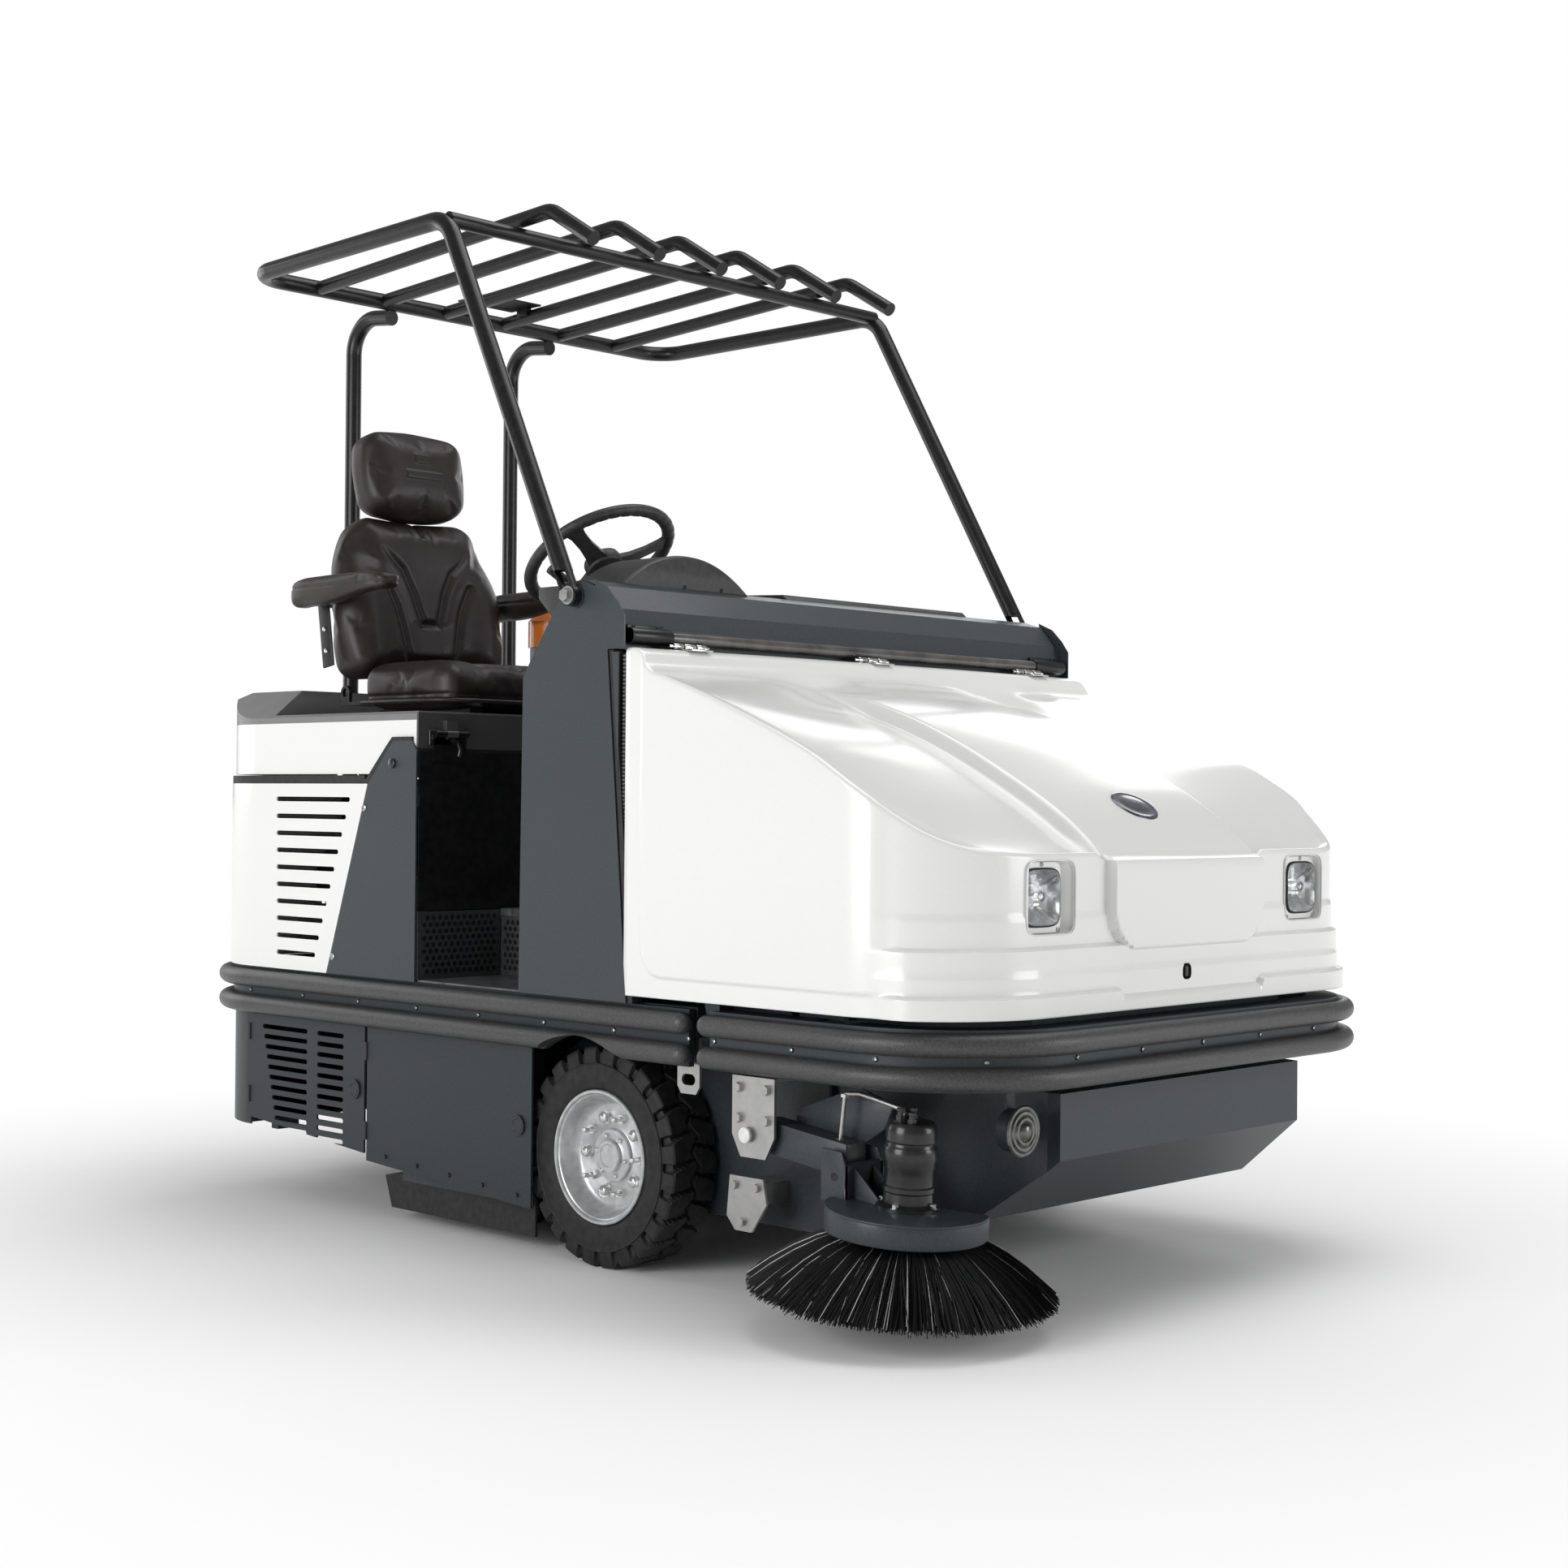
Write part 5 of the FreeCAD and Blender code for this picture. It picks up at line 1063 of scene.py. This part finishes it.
def build_side_arm():
    """Welded arm of the side brush with its half-round cover, holes drawn as dark discs of painted shade, and lift
    rod.
    """
    out = np.array((-0.943, -0.331))
    across = np.array((-out[1], out[0]))
    centre = np.array((SIDE_X, SIDE_Y))
    turn = math.asin(40 / 150)
    rims = []
    for radius in (150, 145):
        reach = turn if radius == 150 else math.asin(36 / 145)
        angles = np.linspace(-math.pi / 2 - reach, math.pi / 2 + reach, 61)
        rims.append([tuple(centre + radius * (math.cos(a) * out + math.sin(a) * across)) for a in angles])
    outer, inner = rims
    plates = [extruded(outer, 217, 222, "z"), extruded(outer + inner[::-1], 178, 218, "z")]
    cover = join_mesh("side_brush_cover", [(tilted(points), faces) for points, faces in plates], "side_carrier",
                      "frame_paint")
    soften(cover, 1.5)
    y, z = -440, 319
    arm = extruded([(y + 34, z - 26), (y + 34, z + 26), (y - 20, z + 30), (-676, 324), (-676, 262),
                    (y - 20, z - 30)], -672, -618)
    cheeks = [extruded([(-640, 318), (-690, 314), (-700, 290), (-700, 219), (-640, 223)], x, x + 6)
              for x in (-700, -602)]
    front = extruded([(-694, 219), (-700, 219), (-700, 290), (-694, 294)], -700, -596)
    gussets = [extruded([(-700, 286), (-700, 217), (-768, 219), (-768, 226)], x, x + 6) for x in (-676, -624)]
    flag = extruded([(-500, 346), (-500, 366), (-655, 424), (-742, 398), (-722, 352), (-676, 322), (-560, 322)],
                    -618, -612)
    weldment = join_mesh("side_arm_weldment", [arm, *cheeks, front, *gussets, flag], "side_carrier",
                         "frame_paint")
    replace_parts(weldment, "side_arm")
    soften(weldment, 2.0)
    outward = (-1, 0, 0)
    # The arm's holes are flat black discs: painted shade in place of the dark inside of each hole.
    dark = [turned([(0, 13), (1.2, 13), (1.2, 0.1)], (-671.5, -650, 296), outward, 28),
            turned([(0, 8), (1.2, 8), (1.2, 0.1)], (-699.5, -672, 268), outward, 20)]
    join_mesh("side_arm_hole_shade", dark, "side_carrier", "black_rubber")
    nut, along = [(0, 9), (6, 9), (7, 8), (7, 0.1)], (0, -0.13, 1)
    rod = [tube([(-650, -641, 322), (-650, -653, 416)], 4.2, 12),
           turned(nut, (-650, -640, 322), along, 6), turned(nut, (-650, -652, 408), along, 6),
           tube([(-650, -653, 414), (-649, -690, 417), (-648, -730, 410), (-646, -768, 402), (-645, -790, 398),
                 (-645, -794, 388)], 5, 12)]
    join_mesh("side_lift_rod", rod, "side_carrier", "zinc")


def build_side_motor():
    """Hydraulic motor of the side brush: flanges, ports and mounting bolts."""
    body = [(0, 58), (6, 58), (10, 52), (12, 46), (30, 45), (33, 47.5), (41, 47.5), (44, 45), (72, 45), (76, 47),
            (84, 47), (88, 49), (110, 49), (114, 47), (118, 44.5), (121, 44.5), (124, 47), (140, 47), (152, 45),
            (158, 40), (160, 30), (160, 0.1)]
    port = [(0, 9), (8, 9), (8, 6.5), (14, 6.5), (15, 8), (20, 8), (20, 0.1)]
    parts = [turned(body, (SIDE_X, SIDE_Y, 222), UP, 64)]
    parts += [turned(port, (SIDE_X + dx, SIDE_Y + dy, 380), UP, 6) for dx, dy in ((-20, -16), (18, 14), (-6, 24))]
    parts = [(tilted(points), faces) for points, faces in parts]
    motor = join_mesh("side_brush_motor", parts, "side_carrier", "motor_black")
    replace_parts(motor, "side_motor")
    bolts = []
    for angle in (0.3, 1.9, 3.4, 5.0):
        x, y = SIDE_X + 50 * math.cos(angle), SIDE_Y + 50 * math.sin(angle)
        for points, faces in (turned([(0, 9), (1.5, 9), (1.5, 0.1)], (x, y, 228), UP, 24),
                              turned([(0, 6.5), (6, 6.5), (7, 5.5), (7, 0.1)], (x, y, 229.5), UP, 6)):
            bolts.append((tilted(points), faces))
    join_mesh("side_motor_bolts", bolts, "side_carrier", "zinc")


def build_steering_wheel():
    """Steering wheel with a ribbed grip, three spokes, a hub button and its shaft."""
    hub, tilt = np.array((-403.0, 322.0, 1494.0)), math.radians(34.2)
    up = np.array((0, math.sin(tilt), math.cos(tilt)))
    right = np.array((1.0, 0, 0))
    ahead = np.cross(up, right)

    def place(points):
        points = np.asarray(points, float)
        return hub + points[:, 0:1] * right + points[:, 1:2] * ahead + points[:, 2:3] * up

    count, ring = 144, 16
    points = []
    for a in 2 * math.pi * np.arange(count) / count:
        grip = 1.2 * max(0.0, math.cos(a * 36))
        for k in range(ring):
            b = 2 * math.pi * k / ring
            under = 1 if math.sin(b) < 0.2 else 0
            r = 164 + (15 - grip * under) * math.cos(b)
            points.append((r * math.cos(a), r * math.sin(a), (12.5 - grip * under) * math.sin(b)))
    last = (count - 1) * ring
    faces = grid_faces(count, ring, wrap=True, flip=True)
    faces += [(last + k, k, (k + 1) % ring, last + (k + 1) % ring) for k in range(ring)]
    parts = [(place(points), faces)]
    for a in (math.radians(-30), math.radians(90), math.radians(210)):
        rows = []
        for r, half, low, high in ((24, 26, -30, -14), (60, 20, -27, -13), (100, 16, -19, -8), (136, 17, -11, -1),
                                   (158, 22, -7, 5)):
            edge = (low + high) / 2 + 3
            rows.append([(r, -half, low), (r, half, low), (r, half, edge), (r, half * 0.6, high),
                         (r, -half * 0.6, high), (r, -half, edge)])
        spoke = np.array(rows).reshape(-1, 3)
        x = spoke[:, 0] * math.cos(a) - spoke[:, 1] * math.sin(a)
        y = spoke[:, 0] * math.sin(a) + spoke[:, 1] * math.cos(a)
        parts.append((place(np.stack([x, y, spoke[:, 2]], 1)), grid_faces(5, 6, wrap=True)))
    button = [(-34, 20), (-34, 40), (-30, 43), (-14, 43), (-6, 40), (-2, 34), (0, 24), (2, 22), (4, 16),
              (4.5, 0.1)]
    for profile, sides in ((button, 48), ([(-140, 12), (-30, 12)], 20)):
        points, faces = turned(profile, (0, 0, 0), UP, sides)
        parts.append((place(points), faces))
    wheel = join_mesh("steering_wheel_rim", parts, "steering", "dark_plastic", angle=45)
    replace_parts(wheel, "steering_wheel")


def build_horn():
    """Ringed face of the round horn under the front bumper."""
    profile = [(0, 40.8), (3, 46.8), (7, 48), (10, 45.6), (10, 40.8), (8, 38.4), (12, 36), (12, 31.2), (9, 28.8),
               (14, 25.2), (14, 20.4), (11, 18), (17, 13.2), (20, 9.6), (21, 0.12)]
    join_mesh("horn_face", [turned(profile, (-450, -906, 352), FRONT, 48)], "hopper", "dark_plastic", "horn_steel")


def build_hanger_bush():
    """Pale bush on the pivot that carries the side arm."""
    bush = turned([(0, 15), (5, 15), (7, 12), (7.5, 0.1)], (-696, -440, 319), (-1, 0, 0), 28)
    join_mesh("hanger_bush", [bush], "chassis", "zinc", "white_plastic")


def build_pillar_trim():
    """Flange and toothed edge seal between each pillar and the hood."""
    flanges, seals = [], []
    length, steps, tooth = 640.0, 240, 8.0
    for side in (-1, 1):
        low, high = sorted((side * 727, side * 723))
        flanges.append(extruded([(-82, 1250), (-103, 1250), (-103, 1010)], low, high))
        centre = np.array((side * 716, -113))
        points, faces = tube([(*centre, 606 + length * i / steps) for i in range(steps + 1)], 1.0, 8)
        points = np.array(points, float)
        teeth = 6.5 + 1.8 * np.sin(points[:, 2:] * 2 * math.pi / tooth)
        points[:, :2] = centre + (points[:, :2] - centre) * teeth
        seals.append((points, faces))
    join_mesh("pillar_flanges", flanges, "chassis", "frame_paint")
    join_mesh("hood_edge_seals", seals, "chassis", "black_rubber", "bumper_rubber")


def build_dash_covers():
    """Instrument hood over the steering column, with its panel, console and flat pads."""
    centre, half, foot, high, count = -450.0, 185.0, 1394.0, 73.0, 49
    share = np.linspace(-1, 1, count)
    points = []
    for y, inset in ((142, 0), (0, 0), (-5, 1), (-8, 4)):
        x = centre + (half - inset) * share
        z = foot + (high - inset) * (1 - np.abs(share) ** 2.1)
        points.append(np.stack([x, np.full(count, float(y)), z], 1))
    faces = grid_faces(4, count) + [tuple(range(3 * count, 4 * count))]
    shell = piece("dash_hood", np.concatenate(points), faces, "chassis", "dark_plastic", angle=50)
    solid = shell.modifiers.new("thick", "SOLIDIFY")
    solid.thickness, solid.offset = 0.003, -1
    apply_modifiers(shell)
    ledge = [(103, 1396), (180, 1396), (180, 1372), (103, 1300)]
    parts = [rounded_box((-560, 103, 1150), (-240, 160, 1396), 8),
             extruded([(34, 1402), (34, 1438), (60, 1438), (120, 1402)], -535, -365),
             extruded([(6, 1400), (20, 1412), (150, 1418), (176, 1400)], -130, 500),
             extruded(ledge, -700, -560), extruded(ledge, -240, 700)]
    trim = join_mesh("dash_trim", parts, "chassis", "dark_plastic")
    soften(trim, 3)
    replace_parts(shell, "dash_covers")
    screws = [screw_head((x, -9, 1404), FRONT, 5, 3) for x in (-459, -351)]
    join_mesh("dash_screws", screws, "chassis", "black_steel")


def build_light_bar_caps():
    """End plugs, clamp strips and screws at both ends of the light bar."""
    caps = []
    for side in (-1, 1):
        caps.append(turned(rounded(111, 17, 2), (side * 711, -114, 1283), (-side, 0, 0), 32))
        low, high = sorted((side * 706, side * 606))
        caps.append(rounded_box((low, -104, 1296), (high, -97, 1306), 1.5, 2))
        caps += [screw_head((side * x, -104, 1301), FRONT, 4.5, 3) for x in (690, 622)]
    join_mesh("light_bar_caps", caps, "chassis", "black_steel")


def perforation(low, high, pitch, radius, place):
    """Staggered round holes over a rectangle, drawn as thin dark discs of painted shade; place puts (u, v) in
    space.
    """
    parts = []
    angles = np.linspace(0, 2 * math.pi, 12, endpoint=False)
    for row, v in enumerate(np.arange(low[1] + pitch, high[1] - pitch / 2, pitch * 0.866)):
        for u in np.arange(low[0] + pitch * (1 + 0.5 * (row % 2)), high[0] - pitch / 2, pitch):
            parts.append(([place(u + radius * math.cos(a), v + radius * math.sin(a)) for a in angles],
                          [tuple(range(12))]))
    return parts


def build_riser_holes():
    """Perforated risers beside each footwell step, their holes drawn as dark discs of painted shade."""
    holes, pitch, radius = [], 17.0, 5.5
    for side in (-1, 1):
        holes += perforation((109, 555), (545, 690), pitch, radius, lambda u, v, s=side: (s * 489.4, u, v))
        holes += perforation((492, 555), (720, 700), pitch, radius, lambda u, v, s=side: (s * u, 550.6, v))
    # Dark discs on the risers: painted shade where the holes would show the dark space behind.
    join_mesh("riser_hole_shade_discs", holes, "chassis", "dark_plastic", "black_steel")


def build_latches():
    """Deck latch on each side and the plug in each quarter panel."""
    latches = []
    for side in (-1, 1):
        low, high = sorted((side * 697, side * 637))
        hook = [(side * x, 546, z) for x, z in ((640, 1082), (622, 1078), (614, 1062), (618, 1046))]
        latches += [rounded_box((low, 548, 1070), (high, 553, 1105), 3, 2), tube(hook, 4.5, 10)]
        latches += [screw_head((side * x, 548, 1088), FRONT, 5, 3) for x in (688, 648)]
        latches.append(turned([(0, 11), (3, 11), (4.5, 8), (4.8, 0.1)], (side * 730, 640, 1030), (side, 0, 0), 28))
    join_mesh("side_latches", latches, "chassis", "black_steel", "motor_black")
    screws = [screw_head((side * 728, y, z), (side, 0, 0), 8, 3)
              for side in (-1, 1) for y, z in ((746, 931), (862, 590))]
    join_mesh("rear_shell_screws", screws, "chassis", "zinc")


# ---------------------------------------------------------------- camera, light and floor

def build_camera():
    """Camera at the photograph's place, worked out from the machine's straight edges."""
    camera = bpy.data.cameras.new("camera")
    camera.lens = 52.9
    camera.sensor_width = 36
    camera.clip_end = 100
    camera.shift_x = 0.0025
    camera.shift_y = -0.0034
    rig = bpy.data.objects.new("camera", camera)
    bpy.context.scene.collection.objects.link(rig)
    azimuth, elevation, roll = math.radians(-46.066), math.radians(0.512), math.radians(0.486)
    ahead = Vector((-math.sin(azimuth) * math.cos(elevation), math.cos(azimuth) * math.cos(elevation),
                    math.sin(elevation)))
    turn = ahead.to_track_quat("-Z", "Y").to_matrix() @ Matrix.Rotation(roll, 3, "Z")
    rig.matrix_world = Matrix.Translation(at(-3813.0, -3525.9, 957.9)) @ turn.to_4x4()
    bpy.context.scene.camera = rig
    bpy.context.scene.view_settings.view_transform = "Standard"


def build_lights():
    """White surroundings, dimmer as light than as backdrop, and five soft area lamps."""
    world = bpy.data.worlds.new("world")
    world.use_nodes = True
    tree = world.node_tree
    ambient = tree.nodes["Background"]
    ambient.inputs["Color"].default_value = (1, 1, 1, 1)
    ambient.inputs["Strength"].default_value = 0.30
    seen = tree.nodes.new("ShaderNodeBackground")
    seen.inputs["Color"].default_value = (1, 1, 1, 1)
    seen.inputs["Strength"].default_value = 1.0
    kind = tree.nodes.new("ShaderNodeLightPath")
    mix = tree.nodes.new("ShaderNodeMixShader")
    tree.links.new(kind.outputs["Is Camera Ray"], mix.inputs["Fac"])
    tree.links.new(ambient.outputs["Background"], mix.inputs[1])
    tree.links.new(seen.outputs["Background"], mix.inputs[2])
    tree.links.new(mix.outputs["Shader"], tree.nodes["World Output"].inputs["Surface"])
    bpy.context.scene.world = world
    for name, x, y, z, size, power in (("left", -5200, 300, 1700, 2.6, 135),
                                       ("front", 2600, -5200, 1900, 2.6, 100),
                                       ("top", 900, -500, 5600, 3.5, 125),
                                       ("far", 4800, 2600, 2600, 3.0, 60),
                                       ("rear", -1500, 5600, 2400, 3.0, 60)):
        lamp = bpy.data.lights.new(name, "AREA")
        lamp.energy = power
        lamp.size = size
        light = bpy.data.objects.new(name, lamp)
        bpy.context.scene.collection.objects.link(light)
        light.location = at(x, y, z)
        way = at(0, 200, 700) - light.location
        light.rotation_euler = way.to_track_quat("-Z", "Y").to_euler()


def build_floor():
    """Pale floor that fades to white away from the machine."""
    bpy.ops.mesh.primitive_plane_add(size=400, location=(0, 0, 0))
    floor = bpy.context.object
    floor.name = "floor"
    pale = new_material("pale_floor", (0.92, 0.92, 0.92), 0.9)
    tree = pale.node_tree
    place = tree.nodes.new("ShaderNodeTexCoord")
    distance = tree.nodes.new("ShaderNodeVectorMath")
    distance.operation = "LENGTH"
    fade = tree.nodes.new("ShaderNodeMapRange")
    fade.interpolation_type = "SMOOTHSTEP"
    fade.inputs["From Min"].default_value = 1.0
    fade.inputs["From Max"].default_value = 3.0
    glow = tree.nodes.new("ShaderNodeEmission")
    blend = tree.nodes.new("ShaderNodeMixShader")
    tree.links.new(place.outputs["Object"], distance.inputs[0])
    tree.links.new(distance.outputs["Value"], fade.inputs["Value"])
    tree.links.new(fade.outputs["Result"], blend.inputs["Fac"])
    tree.links.new(tree.nodes["Principled BSDF"].outputs["BSDF"], blend.inputs[1])
    tree.links.new(glow.outputs["Emission"], blend.inputs[2])
    tree.links.new(blend.outputs["Shader"], tree.nodes["Material Output"].inputs["Surface"])
    floor.data.materials.append(pale)


# ---------------------------------------------------------------- the whole sweeper

build_lamps(build_hood())
build_badge()
build_hood_hinges()
build_cushion()
build_backrest()
build_headrest()
build_armrests()
build_back_plates()
build_wheels()
build_side_brush()
build_main_brush()
build_bumper_screws()
build_pillar_trim()
build_dash_covers()
build_light_bar_caps()
build_riser_holes()
build_latches()
build_hanger_bush()
build_side_arm()
build_side_motor()
build_steering_wheel()
build_horn()
finish_cad_nodes()
build_camera()
build_lights()
build_floor()

bpy.context.view_layer.update()
